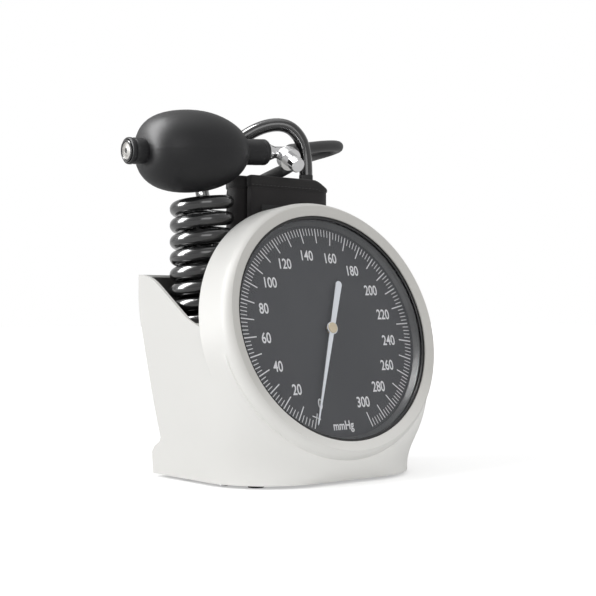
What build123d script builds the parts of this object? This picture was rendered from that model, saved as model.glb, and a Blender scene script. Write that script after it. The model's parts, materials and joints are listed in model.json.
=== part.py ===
from build123d import *
import os
from math import acos, cos, degrees, hypot, pi, radians, sin, sqrt, tan

os.makedirs("parts", exist_ok=True)

# Desk aneroid blood pressure gauge: a leaning round dial in a white housing, with a
# bin behind it for the folded cuff, the coiled hose and the inflation bulb.
# Millimetres, X to the right, Y to the back, Z up. The drawing's origin is on the desk,
# under the middle of the seam between the two shells; write_node moves each piece so
# that the part's own origin is the middle of the front left foot's underside.

# Housing sizes
foot_stand = 2.0
shell_wall = 2.2
front_depth = 49.0
front_side_flat = 0.4
base_half_width = 75.5
bin_half_width = 84.2
base_back_half_width = 82.2
shoulder_height = 96.0
base_back_y = 50.7
ledge_height = 16.0
wall_foot_y = 39.9
wall_foot_height = 26.0
wall_bend_y = 61.5
wall_bend_height = 103.0
wall_top_y = 63.0
bin_top_height = 129.3
bin_floor_height = 56.0
side_curve_back_y = 49.5
side_curve_front_y = 4.0
side_curve_front_height = 101.4
side_curve_end_y = -14.0
side_curve_nose_drop = 6.4
side_curve_radius = 48.0
liner_wall = 1.0
liner_gap = 0.1
liner_below_rim = 1.4
part_gap = 0.3

# Dial place and rim sizes; depths run along the dial's normal, out of its face
hub_y = -30.0
hub_height = 94.4
dial_lean = 15.9
drum_back_radius = 86.4
drum_back_depth = -15.0
rim_shoulder_radius = 82.8
rim_shoulder_depth = 2.0
rim_crest_radius = 78.6
rim_crest_depth = 9.6
rim_lip_radius = 72.7
rim_lip_depth = 8.0
rim_slope_swell = 0.2
bezel_opening_radius = 74.0
case_seat_depth = -2.7
skirt_face_depth = 1.5
rim_groove_inner = 76.2
rim_groove_outer = 80.6
rim_groove_depth = 3.2
case_screw_circle = 78.4
cover_back_depth = -21.0
cover_flat_radius = 78.0
cover_wall = 1.8

# Feet, base plate and the posts that its screws go into
foot_radius = 5.0
foot_plug_radius = 2.0
foot_x = 54.0
front_foot_y = -26.6
back_foot_y = 36.0
base_plate_thickness = 2.0
post_radius = 4.0
post_height = 13.0
post_inset = 5.5
front_post_y = -12.0
back_post_y = 22.0
pilot_radius = 1.5
screw_hole_radius = 1.7
screw_shank_radius = 1.45
screw_head_radius = 2.9
screw_head_height = 1.8
screw_bite = 7.0

# Gauge sizes; depths as above
case_flange_radius = 81.2
case_flange_thickness = 2.2
case_outer_radius = 72.8
case_wall = 1.8
case_front_depth = -0.85
case_back_depth = -18.5
case_screw_count = 4
bezel_outer_radius = 73.75
bezel_back_depth = -2.4
bezel_lip_depth = 6.0
bezel_front_depth = 6.8
bezel_inner_radius = 70.9
glazing_radius = 72.3
lens_back_depth = 4.2
lens_thickness = 1.5
gasket_thickness = 0.2
reflector_inner_radius = 68.6
touch_gap = 0.05
dial_thickness = 0.8
dial_hole_radius = 2.6
dial_foot_x = 14.0
dial_foot_radius = 1.15
dial_foot_shoulder = 2.4
dial_foot_end = 0.9
zero_angle = -158.2

# Pointer and movement sizes, in the dial's plane: across, up the dial, and depth
pointer_reach = 64.0
pointer_tail = 33.0
pointer_tip_width = 0.8
pointer_tail_width = 4.6
pointer_back_depth = 2.6
pointer_thickness = 0.6
pointer_hub_radius = 4.0
pointer_hub_back = 1.0
cap_radius = 3.4
cap_height = 0.8
shaft_radius = 0.9
running_fit = 0.05
plate_half_width = 27.0
plate_top = 10.0
plate_bottom = -34.0
plate_thickness = 1.2
front_plate_front = -2.2
back_plate_front = -10.4
pillar_x = 23.0
pillar_top = 6.0
pillar_bottom = -30.0
pillar_radius = 2.0
pillar_stud_radius = 1.2
case_boss_radius = 2.8
pinion_teeth = 12
pinion_radius = 1.9
gear_ratio = 9.0
tooth_depth = 0.28
mesh_gap = 0.1
gear_back = -6.8
gear_thickness = 1.2
sector_pivot_x = -16.0
sector_tail = 4.6
sector_tail_angle = -53.0
rocker_up = -15.6
rocker_depth = -8.6
rocker_left = -18.8
rocker_right = 5.8
rocker_cheek = 1.2
pusher_up = -21.1
pusher_radius = 1.0
pusher_top = -9.6
rocker_finger = 0.8
rocker_blade_top = -5.0
rocker_blade_x = -12.4
rocker_blade_width = 4.2
rocker_blade_thickness = 0.6
capsule_radius = 19.0
capsule_back = -16.6
capsule_front = -12.2
capsule_ripple = 0.5
hairspring_inner = 1.8
hairspring_step = 1.0
hairspring_turns = 4
hairspring_strip = 0.3
hairspring_back = -9.4
hairspring_height = 0.9
stem_radius = 3.0
nut_radius = 5.0
nut_thickness = 2.4
elbow_radius = 3.4
elbow_end_depth = -28.5
barb_radius = 2.1
barb_bore = 1.1
barb_length = 11.0
barb_step = 0.35

# Hoses and the coil
tube_diameter = 9.0
coil_turns = 11
coil_pitch = 10.4
coil_mean_radius = 15.9
coil_x = -59.5
coil_y = 25.6
coil_above_floor = 6.0
coil_start_height = bin_floor_height + coil_above_floor
bulb_hose_diameter = 8.0
gauge_hose_diameter = 6.0
fitting_thread_radius = 3.3
fitting_depth = 9.0
fitting_flange_radius = 4.8
fitting_flange_thickness = 1.6
fitting_reach = 8.0
spigot_length = 4.0

# Bulb, its valves, and the folded cuff
bulb_left_x = -116.2
bulb_right_x = -14.6
bulb_y = 20.0
bulb_radius = 25.8
bulb_collar_radius = 8.2
bulb_collar_length = 11.0
bulb_widest = 43.0
bulb_neck_radius = 8.5
bulb_neck_length = 18.0
bulb_wall = 2.6
inlet_radius = 6.6
inlet_length = 8.0
inlet_hole_radius = 1.6
flap_radius = 3.6
flap_thickness = 0.8
flap_travel = 0.8
valve_radius = 3.9
valve_length = 18.7
valve_flange_radius = 5.6
valve_flange_length = 3.0
valve_taper_length = 5.0
valve_tail = 8.0
knob_tilt = 30.0
knob_from_neck = 13.6
stub_radius = 3.5
stub_reach = 6.4
collar_radius = 7.5
collar_length = 6.0
collar_groove = 0.5
grip_radius = 4.8
grip_length = 9.5
needle_radius = 1.1
cuff_left_x = -31.0
cuff_right_x = 38.0
cuff_front_y = 17.0
cuff_back_y = 50.0
cuff_top_height = 195.0
# The bulb's two ends lie above the cuff's top
bulb_left_rise = 7.4
bulb_left_height = cuff_top_height + bulb_left_rise
bulb_right_rise = 14.9
bulb_right_height = cuff_top_height + bulb_right_rise
hook_width = 46.0
hook_thickness = 1.0
hook_inset = 20.0
bladder_thickness = 6.0
bladder_top_clear = 2.0
port_reach = 13.0
slanted_port_reach = 6.0
gauge_hose_run = 24.0
gauge_hose_near_x = -13.0
gauge_hose_near_y = -19.0
gauge_hose_near_height = 18.0
gauge_hose_far_x = -31.0
gauge_hose_far_y = -13.0
gauge_hose_far_height = 18.5
gauge_hose_end_height = 33.0
cuff_corner_radius = 9.0
cuff_fold_width = 1.2
cuff_fold_depth = 9.0
cuff_shoulder_width = 9.5
cuff_shoulder_drop = 5.5
bladder_wall_clear = 6.0
bladder_clear = 0.4
port_radius = 4.7
port_stand = 3.0
bulb_port_x = -3.5
bulb_port_y = 31.0
bulb_port_stand = 9.5

seam_y = 0.0
far = 400.0


def dial_frame():
    lean = radians(dial_lean)
    plane = Plane(origin=(0, hub_y, hub_height), x_dir=(1, 0, 0),
                  z_dir=(0, -cos(lean), sin(lean)))
    return Location(plane)


on_dial = dial_frame()


def half_width_at_seam(height):
    share = (shoulder_height - height) / (shoulder_height - foot_stand)
    return bin_half_width - (bin_half_width - base_half_width) * share ** 2


def half_width_at_back(height):
    share = (shoulder_height - height) / (shoulder_height - foot_stand)
    return bin_half_width - (bin_half_width - base_back_half_width) * share


def flare_heights():
    rise = (shoulder_height - foot_stand) / 4
    return [foot_stand + rise * step for step in range(5)]


def front_plan(height, face_half, face_y, inset, past_seam=0.0):
    half = half_width_at_seam(height) - inset
    corner = face_half - inset
    front = face_y + inset
    side_y = seam_y - front_side_flat
    bulge = 0.5523
    reach = (side_y - front) * bulge
    spread = (half - corner) * bulge
    outline = [
        Line((-half, seam_y + past_seam), (-half, side_y)),
        Bezier((-half, side_y), (-half, side_y - reach), (-corner - spread, front), (-corner, front)),
        Line((-corner, front), (corner, front)),
        Bezier((corner, front), (corner + spread, front), (half, side_y - reach), (half, side_y)),
        Line((half, side_y), (half, seam_y + past_seam)),
        Line((half, seam_y + past_seam), (-half, seam_y + past_seam)),
    ]
    return Pos(0, 0, height) * make_face(outline)


def base_plan(inset, past_seam=0.0):
    corner = base_half_width - (front_depth - front_side_flat)
    return front_plan(foot_stand, corner, seam_y - front_depth, inset, past_seam)


def skirt_space(inset, past_seam=0.0):
    lean = radians(dial_lean)
    plans = [base_plan(inset, past_seam)]
    for turn in (20, 35, 50, 65, 80, 90):
        up_dial = -rim_shoulder_radius * cos(radians(turn))
        height = hub_height + up_dial * cos(lean) + skirt_face_depth * sin(lean)
        face_y = hub_y + up_dial * sin(lean) - skirt_face_depth * cos(lean)
        face_half = rim_shoulder_radius * sin(radians(turn))
        plans.append(front_plan(height, face_half, face_y, inset, past_seam))
    return loft(plans) + extrude(plans[-1], amount=12)


def width_space(inset):
    plans = []
    for height in flare_heights():
        seam_half = half_width_at_seam(height) - inset
        back_half = half_width_at_back(height) - inset
        corners = [(-seam_half, seam_y - 5), (-seam_half, seam_y), (-back_half, base_back_y + 20),
                   (back_half, base_back_y + 20), (seam_half, seam_y), (seam_half, seam_y - 5)]
        plans.append(Pos(0, 0, height) * make_face(Polyline(*corners, close=True)))
    space = loft(plans)
    return space + extrude(plans[-1], amount=far)


def side_solid(points, half=120.0):
    profile = make_face(Polyline(*points, close=True))
    return extrude(Plane.YZ * profile, amount=half, both=True)


def above_side_curve(lowered=0.0):
    end_height = side_curve_front_height - side_curve_nose_drop - lowered
    curve = FilletPolyline(
        (far, bin_top_height - lowered),
        (side_curve_back_y, bin_top_height - lowered),
        (side_curve_front_y, side_curve_front_height - lowered),
        (side_curve_end_y, end_height),
        (-far, end_height),
        radius=[side_curve_radius, side_curve_radius, 20.0],
    )
    closing = Polyline((-far, end_height), (-far, far), (far, far),
                       (far, bin_top_height - lowered))
    profile = make_face([curve, closing])
    return extrude(Plane.YZ * profile, amount=120, both=True)


def revolved(points_or_edges):
    profile = make_face(points_or_edges)
    return revolve(Plane.XZ * profile, axis=Axis.Z)


def drum_outside():
    edges = [
        Polyline((0, rim_lip_depth), (0, drum_back_depth), (drum_back_radius, drum_back_depth),
                 (rim_shoulder_radius, rim_shoulder_depth)),
        ThreePointArc((rim_shoulder_radius, rim_shoulder_depth),
                      (rim_shoulder_radius - 1.2, rim_shoulder_depth + 3.9),
                      (rim_crest_radius, rim_crest_depth)),
        ThreePointArc((rim_crest_radius, rim_crest_depth),
                      ((rim_crest_radius + rim_lip_radius) / 2,
                       (rim_crest_depth + rim_lip_depth) / 2 + rim_slope_swell),
                      (rim_lip_radius, rim_lip_depth)),
        Line((rim_lip_radius, rim_lip_depth), (0, rim_lip_depth)),
    ]
    return on_dial * revolved(edges)


def drum_inside():
    slope = (drum_back_radius - rim_shoulder_radius) / (rim_shoulder_depth - drum_back_depth)
    seat_radius = drum_back_radius - slope * (case_seat_depth - drum_back_depth) - shell_wall
    points = [(0, drum_back_depth - 1), (drum_back_radius - shell_wall, drum_back_depth - 1),
              (seat_radius, case_seat_depth), (0, case_seat_depth)]
    return on_dial * revolved(Polyline(*points, close=True))


def ring(outer_radius, inner_radius, back_depth, front_depth_limit):
    thick = front_depth_limit - back_depth
    middle = back_depth + thick / 2
    return Pos(0, 0, middle) * (Cylinder(outer_radius, thick) - Cylinder(inner_radius, thick + 2))


def disc(radius, back_depth, front_depth_limit):
    thick = front_depth_limit - back_depth
    return Pos(0, 0, back_depth + thick / 2) * Cylinder(radius, thick)


def around(radius, count, first_angle=0.0):
    step = 360 / count
    return [Rot(0, 0, first_angle + step * index) * Pos(radius, 0, 0) for index in range(count)]


def screw(shank_length, head_radius=screw_head_radius, head_height=screw_head_height,
          shank_radius=screw_shank_radius):
    # The head's seat is at height 0; the shank goes up and the head hangs below
    body = Pos(0, 0, shank_length / 2) * Cylinder(shank_radius, shank_length)
    body += Pos(0, 0, -head_height / 2) * Cylinder(head_radius, head_height)
    slot_depth = head_height * 0.5
    slot_place = Pos(0, 0, -head_height + slot_depth / 2)
    body -= slot_place * Box(head_radius * 1.2, head_radius * 0.3, slot_depth)
    body -= slot_place * Box(head_radius * 0.3, head_radius * 1.2, slot_depth)
    return body


def post_places():
    places = []
    for post_y in (front_post_y, back_post_y):
        half = post_half_x(post_y)
        places.append((-half, post_y))
        places.append((half, post_y))
    return places


def post_half_x(post_y):
    if post_y < seam_y:
        return half_width_at_seam(foot_stand) - shell_wall - post_inset
    share = (post_y - seam_y) / (base_back_y + 20 - seam_y)
    half = half_width_at_seam(foot_stand)
    half += (half_width_at_back(foot_stand) - half) * share
    return half - shell_wall - post_inset + 1.5


def posts(post_y):
    bottom = foot_stand + base_plate_thickness
    solids = None
    for post_x, place_y in post_places():
        if place_y != post_y:
            continue
        side = 1 if post_x > 0 else -1
        post = Pos(post_x, post_y, bottom + post_height / 2) * Cylinder(post_radius, post_height)
        rib_length = post_inset + 6
        post += Pos(post_x + side * rib_length / 2, post_y, bottom + post_height / 2) * Box(
            rib_length, 2.0, post_height)
        post -= Pos(post_x, post_y, bottom + screw_bite / 2) * Cylinder(pilot_radius, screw_bite)
        solids = post if solids is None else solids + post
    return solids


def make_front_shell():
    outside = skirt_space(0) - above_side_curve() + drum_outside()
    inside = skirt_space(shell_wall, past_seam=5) - above_side_curve(lowered=shell_wall)
    inside += extrude(base_plan(shell_wall, 5), amount=-foot_stand)
    shell = outside - inside - drum_inside()
    rim_ring = ring(rim_shoulder_radius - 1, rim_lip_radius, case_seat_depth, rim_lip_depth - 1)
    shell += on_dial * rim_ring & outside
    # The lip stands in over the bezel's edge
    shell -= on_dial * disc(bezel_opening_radius, case_seat_depth - 1, bezel_front_depth + part_gap)
    shell -= on_dial * disc(rim_lip_radius, case_seat_depth - 1, rim_crest_depth + 2)
    shell -= on_dial * disc(case_outer_radius + part_gap, case_back_depth - part_gap, case_seat_depth)
    groove = ring(rim_groove_outer, rim_groove_inner, case_seat_depth - 1, rim_groove_depth)
    for place in around(case_screw_circle, case_screw_count, 45):
        groove -= place * Cylinder(3.2, 40)
        groove += place * disc(pilot_radius, case_seat_depth - 1, rim_groove_depth)
    shell -= on_dial * groove
    shell += posts(front_post_y) & outside
    return shell


def back_line(depth_in):
    # The bin's back wall, moved in by depth_in, from its foot up past the rim
    lean = (wall_bend_y - wall_foot_y) / (wall_bend_height - wall_foot_height)
    step = depth_in * sqrt(1 + lean ** 2)
    return [(wall_foot_y - step, wall_foot_height), (wall_bend_y - step, wall_bend_height),
            (wall_top_y - depth_in, wall_bend_height + 10), (wall_top_y - depth_in, far / 2)]


def bin_space(inset):
    back = back_line(shell_wall + inset)
    floor_height = bin_floor_height + inset
    lean = (back[1][0] - back[0][0]) / (back[1][1] - back[0][1])
    floor_back_y = back[0][0] + lean * (floor_height - wall_foot_height)
    front_y = seam_y + shell_wall + inset
    profile = [(front_y, floor_height), (floor_back_y, floor_height)] + back[1:] + [(front_y, far / 2)]
    return side_solid(profile) & width_space(shell_wall + inset)


def make_rear_shell():
    ledge_back = base_back_y
    profile = [(seam_y, foot_stand), (ledge_back, foot_stand), (ledge_back, ledge_height),
               (ledge_back - 3.0, ledge_height + 3.5), (wall_foot_y + 1.6, wall_foot_height - 3.0)]
    profile += back_line(0) + [(seam_y, far / 2)]
    shell = side_solid(profile) & width_space(0)
    shell -= above_side_curve()
    shell -= bin_space(0)
    step = shell_wall
    under = [(seam_y - 1, -1), (ledge_back - step, -1), (ledge_back - step, ledge_height - 1),
             (ledge_back - 3.0 - step, ledge_height + 2.0), (wall_foot_y - step, wall_foot_height - 3.5)]
    under_back = back_line(shell_wall)
    lean = (under_back[1][0] - under_back[0][0]) / (under_back[1][1] - under_back[0][1])
    roof = bin_floor_height - shell_wall
    under += [under_back[0], (under_back[0][0] + lean * (roof - wall_foot_height), roof), (seam_y - 1, roof)]
    base_width = width_space(shell_wall)
    lowest = base_width.faces().sort_by(Axis.Z)[0]
    base_width += extrude(lowest, amount=foot_stand)
    shell -= side_solid(under) & base_width
    shell += posts(back_post_y) & side_solid(profile) & width_space(0)
    shell -= hose_fitting_hole()
    return shell


def make_bin_liner():
    liner = bin_space(liner_gap) - bin_space(liner_gap + liner_wall)
    liner -= above_side_curve(lowered=liner_below_rim)
    liner -= hose_fitting_hole()
    return liner


def make_base_plate():
    gap = part_gap
    half = half_width_at_seam(foot_stand) - shell_wall - gap
    back_half = half_width_at_back(foot_stand) - shell_wall - gap
    share = (base_back_y - shell_wall - gap - seam_y) / (base_back_y + 20 - seam_y)
    corner_half = half + (back_half - half) * share
    back_y = base_back_y - shell_wall - gap
    corners = [(-half, seam_y), (-corner_half, back_y), (corner_half, back_y), (half, seam_y)]
    back = Pos(0, 0, foot_stand) * make_face(Polyline(*corners, close=True))
    plate = extrude(base_plan(shell_wall + gap) + back, amount=base_plate_thickness)
    for post_x, post_y in post_places():
        plate -= Pos(post_x, post_y, foot_stand) * Cylinder(screw_hole_radius, 10)
    for foot_place in foot_places():
        plate -= foot_place * Cylinder(foot_plug_radius + touch_gap, 20)
    return plate


def foot_places():
    return [Pos(side * foot_x, foot_y, 0) for foot_y in (front_foot_y, back_foot_y) for side in (-1, 1)]


def make_rubber_feet():
    pad = Pos(0, 0, foot_stand / 2) * Cylinder(foot_radius, foot_stand)
    plug_height = base_plate_thickness
    pad += Pos(0, 0, foot_stand + plug_height / 2) * Cylinder(foot_plug_radius, plug_height)
    cap_place = Pos(0, 0, foot_stand + plug_height + 0.5)
    pad += cap_place * Cylinder(foot_plug_radius + 0.9, 1.0)
    return [place * pad for place in foot_places()]


def make_base_screws():
    one = screw(base_plate_thickness + screw_bite - 0.5, head_height=foot_stand - 0.5)
    return [Pos(post_x, post_y, foot_stand) * one for post_x, post_y in post_places()]


def make_gauge_cover():
    edge = drum_back_radius
    top = drum_back_depth - 0.05
    points = [(0, cover_back_depth), (cover_flat_radius, cover_back_depth), (edge - 1.5, top - 2.2),
              (edge, top), (edge - 3.0, top), (edge - 3.6, top - 1.6),
              (cover_flat_radius - 1.0, cover_back_depth + cover_wall), (0, cover_back_depth + cover_wall)]
    cover = on_dial * revolved(Polyline(*points, close=True))
    return cover & above_side_curve(lowered=-part_gap)


def make_gauge_case():
    flange_back = case_seat_depth - part_gap - case_flange_thickness
    case = ring(case_flange_radius, case_outer_radius - 1, flange_back, case_seat_depth - part_gap)
    case += disc(case_outer_radius, case_back_depth, case_front_depth)
    floor_depth = case_back_depth + case_wall
    case -= disc(case_outer_radius - case_wall, floor_depth, case_front_depth + 1)
    for place in around(case_screw_circle, case_screw_count, 45):
        case -= place * disc(screw_hole_radius, flange_back - 1, case_seat_depth)
    boss_top = back_plate_front - plate_thickness
    for place in pillar_places():
        case += place * disc(case_boss_radius, floor_depth, boss_top)
        case -= place * disc(pillar_stud_radius + touch_gap, boss_top - 3.4, boss_top + 1)
    case -= Pos(0, pusher_up, 0) * disc(stem_radius + touch_gap, case_back_depth - 1, floor_depth + 1)
    return on_dial * case


def make_case_screws():
    seat = case_seat_depth - part_gap - case_flange_thickness
    one = screw(screw_bite, head_radius=2.6)
    return [on_dial * place * Pos(0, 0, seat) * one
            for place in around(case_screw_circle, case_screw_count, 45)]


def hose_fitting_hole():
    return Pos(coil_x + coil_mean_radius, seam_y, coil_start_height) * Rot(90, 0, 0) * Cylinder(3.6, 12)


def pillar_places():
    return [Pos(side * pillar_x, up, 0) for up in (pillar_top, pillar_bottom) for side in (-1, 1)]


def make_bezel_ring():
    bezel = ring(bezel_outer_radius, case_outer_radius + part_gap, bezel_back_depth, bezel_lip_depth)
    bezel += ring(bezel_outer_radius, bezel_inner_radius, bezel_lip_depth, bezel_front_depth)
    return on_dial * bezel


def make_reflector_ring():
    front = lens_back_depth - touch_gap
    points = [(reflector_inner_radius, touch_gap), (glazing_radius, touch_gap), (glazing_radius, front),
              (bezel_inner_radius, front)]
    return on_dial * revolved(Polyline(*points, close=True))


def make_lens():
    return on_dial * disc(glazing_radius, lens_back_depth, lens_back_depth + lens_thickness)


def make_lens_gasket():
    back = lens_back_depth + lens_thickness + touch_gap
    return on_dial * ring(glazing_radius, bezel_inner_radius + 0.3, back, back + gasket_thickness)


def dial_foot_places():
    return [Pos(side * dial_foot_x, 0, 0) for side in (-1, 1)]


def make_dial_plate():
    return on_dial * (disc(glazing_radius, -dial_thickness, 0) - disc(dial_hole_radius, -2, 1))


def make_dial_feet():
    # Shouldered pins behind the dial, whose ends stand in the movement's front plate
    pin = disc(dial_foot_shoulder, front_plate_front + touch_gap, -dial_thickness - touch_gap)
    pin += disc(dial_foot_radius, front_plate_front - dial_foot_end, -dial_thickness - touch_gap)
    return [on_dial * place * pin for place in dial_foot_places()]


def make_pointer():
    tip_half = pointer_tip_width / 2
    tail_half = pointer_tail_width / 2
    tail_centre = -pointer_tail + tail_half
    outline = [
        Line((-tail_half, tail_centre), (-tip_half, pointer_reach)),
        Line((-tip_half, pointer_reach), (0, pointer_reach + 1.2)),
        Line((0, pointer_reach + 1.2), (tip_half, pointer_reach)),
        Line((tip_half, pointer_reach), (tail_half, tail_centre)),
        ThreePointArc((tail_half, tail_centre), (0, -pointer_tail), (-tail_half, tail_centre)),
    ]
    blade = Pos(0, 0, pointer_back_depth) * extrude(make_face(outline), amount=pointer_thickness)
    blade += disc(pointer_hub_radius, pointer_back_depth, pointer_back_depth + pointer_thickness)
    blade -= disc(shaft_radius + running_fit, 0, 9)
    return on_dial * Rot(0, 0, -zero_angle) * blade


def make_pointer_hub():
    front = pointer_back_depth + pointer_thickness
    hub = disc(1.9, pointer_hub_back, pointer_back_depth - touch_gap)
    hub -= disc(shaft_radius + running_fit, -2, pointer_back_depth)
    cap = disc(cap_radius, front + touch_gap, front + touch_gap + cap_height)
    cap = fillet(cap.edges().filter_by(GeomType.CIRCLE).sort_by(Axis.Z)[-1:], 0.5)
    return on_dial * hub, on_dial * cap


def gear_wheel(teeth, pitch_radius, back, thick):
    tip = pitch_radius + tooth_depth / 2
    wheel = disc(pitch_radius - tooth_depth, back, back + thick)
    width = pi * pitch_radius / teeth * 0.9
    tooth = Pos(0, tip / 2, back + thick / 2) * Box(width, tip, thick)
    for index in range(teeth):
        wheel += Rot(0, 0, 360 / teeth * index) * tooth
    return wheel


def make_pointer_shaft():
    back = back_plate_front - plate_thickness + 0.2
    front = pointer_back_depth + pointer_thickness - touch_gap
    shaft = disc(shaft_radius, back, front)
    shaft += gear_wheel(pinion_teeth, pinion_radius, gear_back - 0.3, gear_thickness + 0.6)
    shaft += disc(1.5, hairspring_back - 0.3, hairspring_back + hairspring_height + 0.3)
    return on_dial * shaft


def sector_radius():
    return pinion_radius * gear_ratio


def sector_pivot():
    distance = sector_radius() + pinion_radius + mesh_gap
    up = -sqrt(distance ** 2 - sector_pivot_x ** 2)
    return sector_pivot_x, up


def make_sector_gear():
    pivot_x, pivot_up = sector_pivot()
    to_pinion = degrees(acos(-pivot_x / hypot(pivot_x, pivot_up)))
    swing = 320 / gear_ratio
    tip = sector_radius() - tooth_depth / 2
    band_inner = tip - 3.5
    first = to_pinion - swing - 4
    last = to_pinion + 4
    sector = ring(tip - tooth_depth, band_inner, gear_back, gear_back + gear_thickness)
    middle = radians((first + last) / 2)
    half_span = radians((last - first) / 2)
    reach = 2 * tip
    wedge_points = [(0, 0), (reach * cos(middle - half_span), reach * sin(middle - half_span)),
                    (reach * cos(middle + half_span), reach * sin(middle + half_span))]
    wedge_face = make_face(Polyline(*wedge_points, close=True))
    wedge = Pos(0, 0, gear_back - 1) * extrude(wedge_face, amount=gear_thickness + 2)
    sector &= wedge
    tooth_turn = 360 / (pinion_teeth * gear_ratio)
    tooth_width = pi * sector_radius() / (pinion_teeth * gear_ratio) * 0.9
    tooth = Pos(tip - tooth_depth, 0, gear_back + gear_thickness / 2) * Box(
        tooth_depth * 2, tooth_width, gear_thickness)
    angle = first + tooth_turn
    while angle < last - tooth_turn / 2:
        sector += Rot(0, 0, angle) * tooth
        angle += tooth_turn
    spoke = Pos(band_inner / 2 + 0.5, 0, gear_back + gear_thickness / 2) * Box(
        band_inner + 1, 1.6, gear_thickness)
    for spoke_angle in (first + 4, last - 4):
        sector += Rot(0, 0, spoke_angle) * spoke
    sector += disc(2.6, gear_back, gear_back + gear_thickness)
    tail = Pos(sector_tail / 2, 0, gear_back + gear_thickness / 2) * Box(sector_tail, 1.2, gear_thickness)
    tail += Pos(sector_tail, 0, gear_back + gear_thickness / 2) * Cylinder(0.6, gear_thickness)
    sector += Rot(0, 0, sector_tail_angle) * tail
    back = back_plate_front - plate_thickness + 0.2
    sector += disc(1.0, back, front_plate_front - 0.2)
    return on_dial * Pos(pivot_x, pivot_up, 0) * sector


def plate_blank(back):
    height = plate_top - plate_bottom
    plate = Pos(0, (plate_top + plate_bottom) / 2, back + plate_thickness / 2) * Box(
        2 * plate_half_width, height, plate_thickness)
    return fillet(plate.edges().filter_by(Axis.Z), 4.0)


def bearing_holes():
    pivot_x, pivot_up = sector_pivot()
    holes = disc(shaft_radius + running_fit, -20, 0)
    holes += Pos(pivot_x, pivot_up, 0) * disc(1.0 + running_fit, -20, 0)
    return holes


def make_front_plate():
    plate = plate_blank(front_plate_front - plate_thickness) - bearing_holes()
    for place in pillar_places():
        plate -= place * disc(1.3, -6, 0)
    for place in dial_foot_places():
        plate -= place * disc(dial_foot_radius + running_fit, -6, 0)
    plate -= Pos(12, -18, 0) * disc(8.0, -6, 0)
    return on_dial * plate


def make_back_plate():
    back = back_plate_front - plate_thickness
    plate = plate_blank(back) - bearing_holes()
    for place in pillar_places():
        plate -= place * disc(pillar_stud_radius + touch_gap, -20, 0)
    plate -= Pos(0, pusher_up, 0) * disc(2.6, -20, 0)
    cheek_height = rocker_depth + 1.6 - back_plate_front
    for cheek_x in (rocker_left, rocker_right):
        cheek = Pos(cheek_x, rocker_up, back_plate_front + cheek_height / 2)
        plate += cheek * Box(rocker_cheek, 3.6, cheek_height)
        plate -= Pos(cheek_x, rocker_up, rocker_depth) * Rot(0, 90, 0) * Cylinder(
            shaft_radius + running_fit, rocker_cheek + 1)
    return on_dial * plate


def make_pillars():
    one = disc(pillar_radius, back_plate_front, front_plate_front - plate_thickness)
    one += disc(pillar_stud_radius, back_plate_front - plate_thickness - 3.0, back_plate_front)
    one -= disc(0.9, front_plate_front - plate_thickness - 3.0, 0)
    return [on_dial * place * one for place in pillar_places()]


def make_movement_screws():
    one = disc(1.9, front_plate_front, front_plate_front + 0.9)
    one += disc(0.85, front_plate_front - plate_thickness - 2.6, front_plate_front)
    one -= Pos(0, 0, front_plate_front + 0.9) * Box(5, 0.5, 0.8)
    return [on_dial * place * one for place in pillar_places()]


def make_rocker():
    length = rocker_right - rocker_left
    middle_x = (rocker_right + rocker_left) / 2
    rocker = Pos(middle_x, rocker_up, rocker_depth) * Rot(0, 90, 0) * Cylinder(shaft_radius, length)
    finger_length = rocker_up - pusher_up + 1.0
    finger_depth = pusher_top + part_gap + rocker_finger / 2
    rocker += Pos(0, rocker_up - finger_length / 2, finger_depth) * Box(2.0, finger_length, rocker_finger)
    blade_height = rocker_blade_top - rocker_depth
    blade_up = rocker_up + rocker_blade_thickness / 2
    rocker += Pos(rocker_blade_x, blade_up, rocker_depth + blade_height / 2) * Box(
        rocker_blade_width, rocker_blade_thickness, blade_height)
    return on_dial * rocker


def make_pusher():
    pusher = disc(pusher_radius, capsule_front + 0.3 + touch_gap, pusher_top)
    pusher += disc(pusher_radius * 1.6, capsule_front + 0.3 + touch_gap, capsule_front + 1.1)
    return on_dial * Pos(0, pusher_up, 0) * pusher


def make_capsule():
    middle = (capsule_back + capsule_front) / 2
    front_points = []
    back_points = []
    ripples = 8
    for index in range(ripples + 1):
        radius = 4.0 + (capsule_radius - 6.0) * index / ripples
        swing = capsule_ripple if index % 2 else 0.0
        front_points.append((radius, capsule_front - swing))
        back_points.append((radius, capsule_back + 0.4 + swing))
    points = [(0, capsule_back + 0.1), (0, capsule_front + 0.3), (3.0, capsule_front + 0.3)]
    points += front_points
    points += [(capsule_radius, middle + 0.4), (capsule_radius, middle - 0.4)]
    points += back_points[::-1]
    points += [(3.6, capsule_back + 0.1)]
    capsule = revolved(Polyline(*points, close=True))
    capsule += disc(stem_radius, case_back_depth - nut_thickness - 0.6, capsule_back + 0.2)
    return on_dial * Pos(0, pusher_up, 0) * capsule


def make_capsule_nut():
    front = case_back_depth - touch_gap
    hexagon = extrude(RegularPolygon(nut_radius, 6), amount=nut_thickness)
    nut = Pos(0, 0, front - nut_thickness) * hexagon
    nut -= disc(stem_radius + touch_gap, front - 9, front + 1)
    return on_dial * Pos(0, pusher_up, 0) * nut


def barb(length):
    # A hose barb that stands up from height 0, with two ribs
    body = Pos(0, 0, length / 2) * Cylinder(barb_radius, length)
    for rib_height in (length - 2.2, length - 4.8):
        rib = Cone(barb_radius + barb_step, barb_radius, 1.8, align=(Align.CENTER, Align.CENTER, Align.MIN))
        body += Pos(0, 0, rib_height) * rib
    return body


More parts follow.
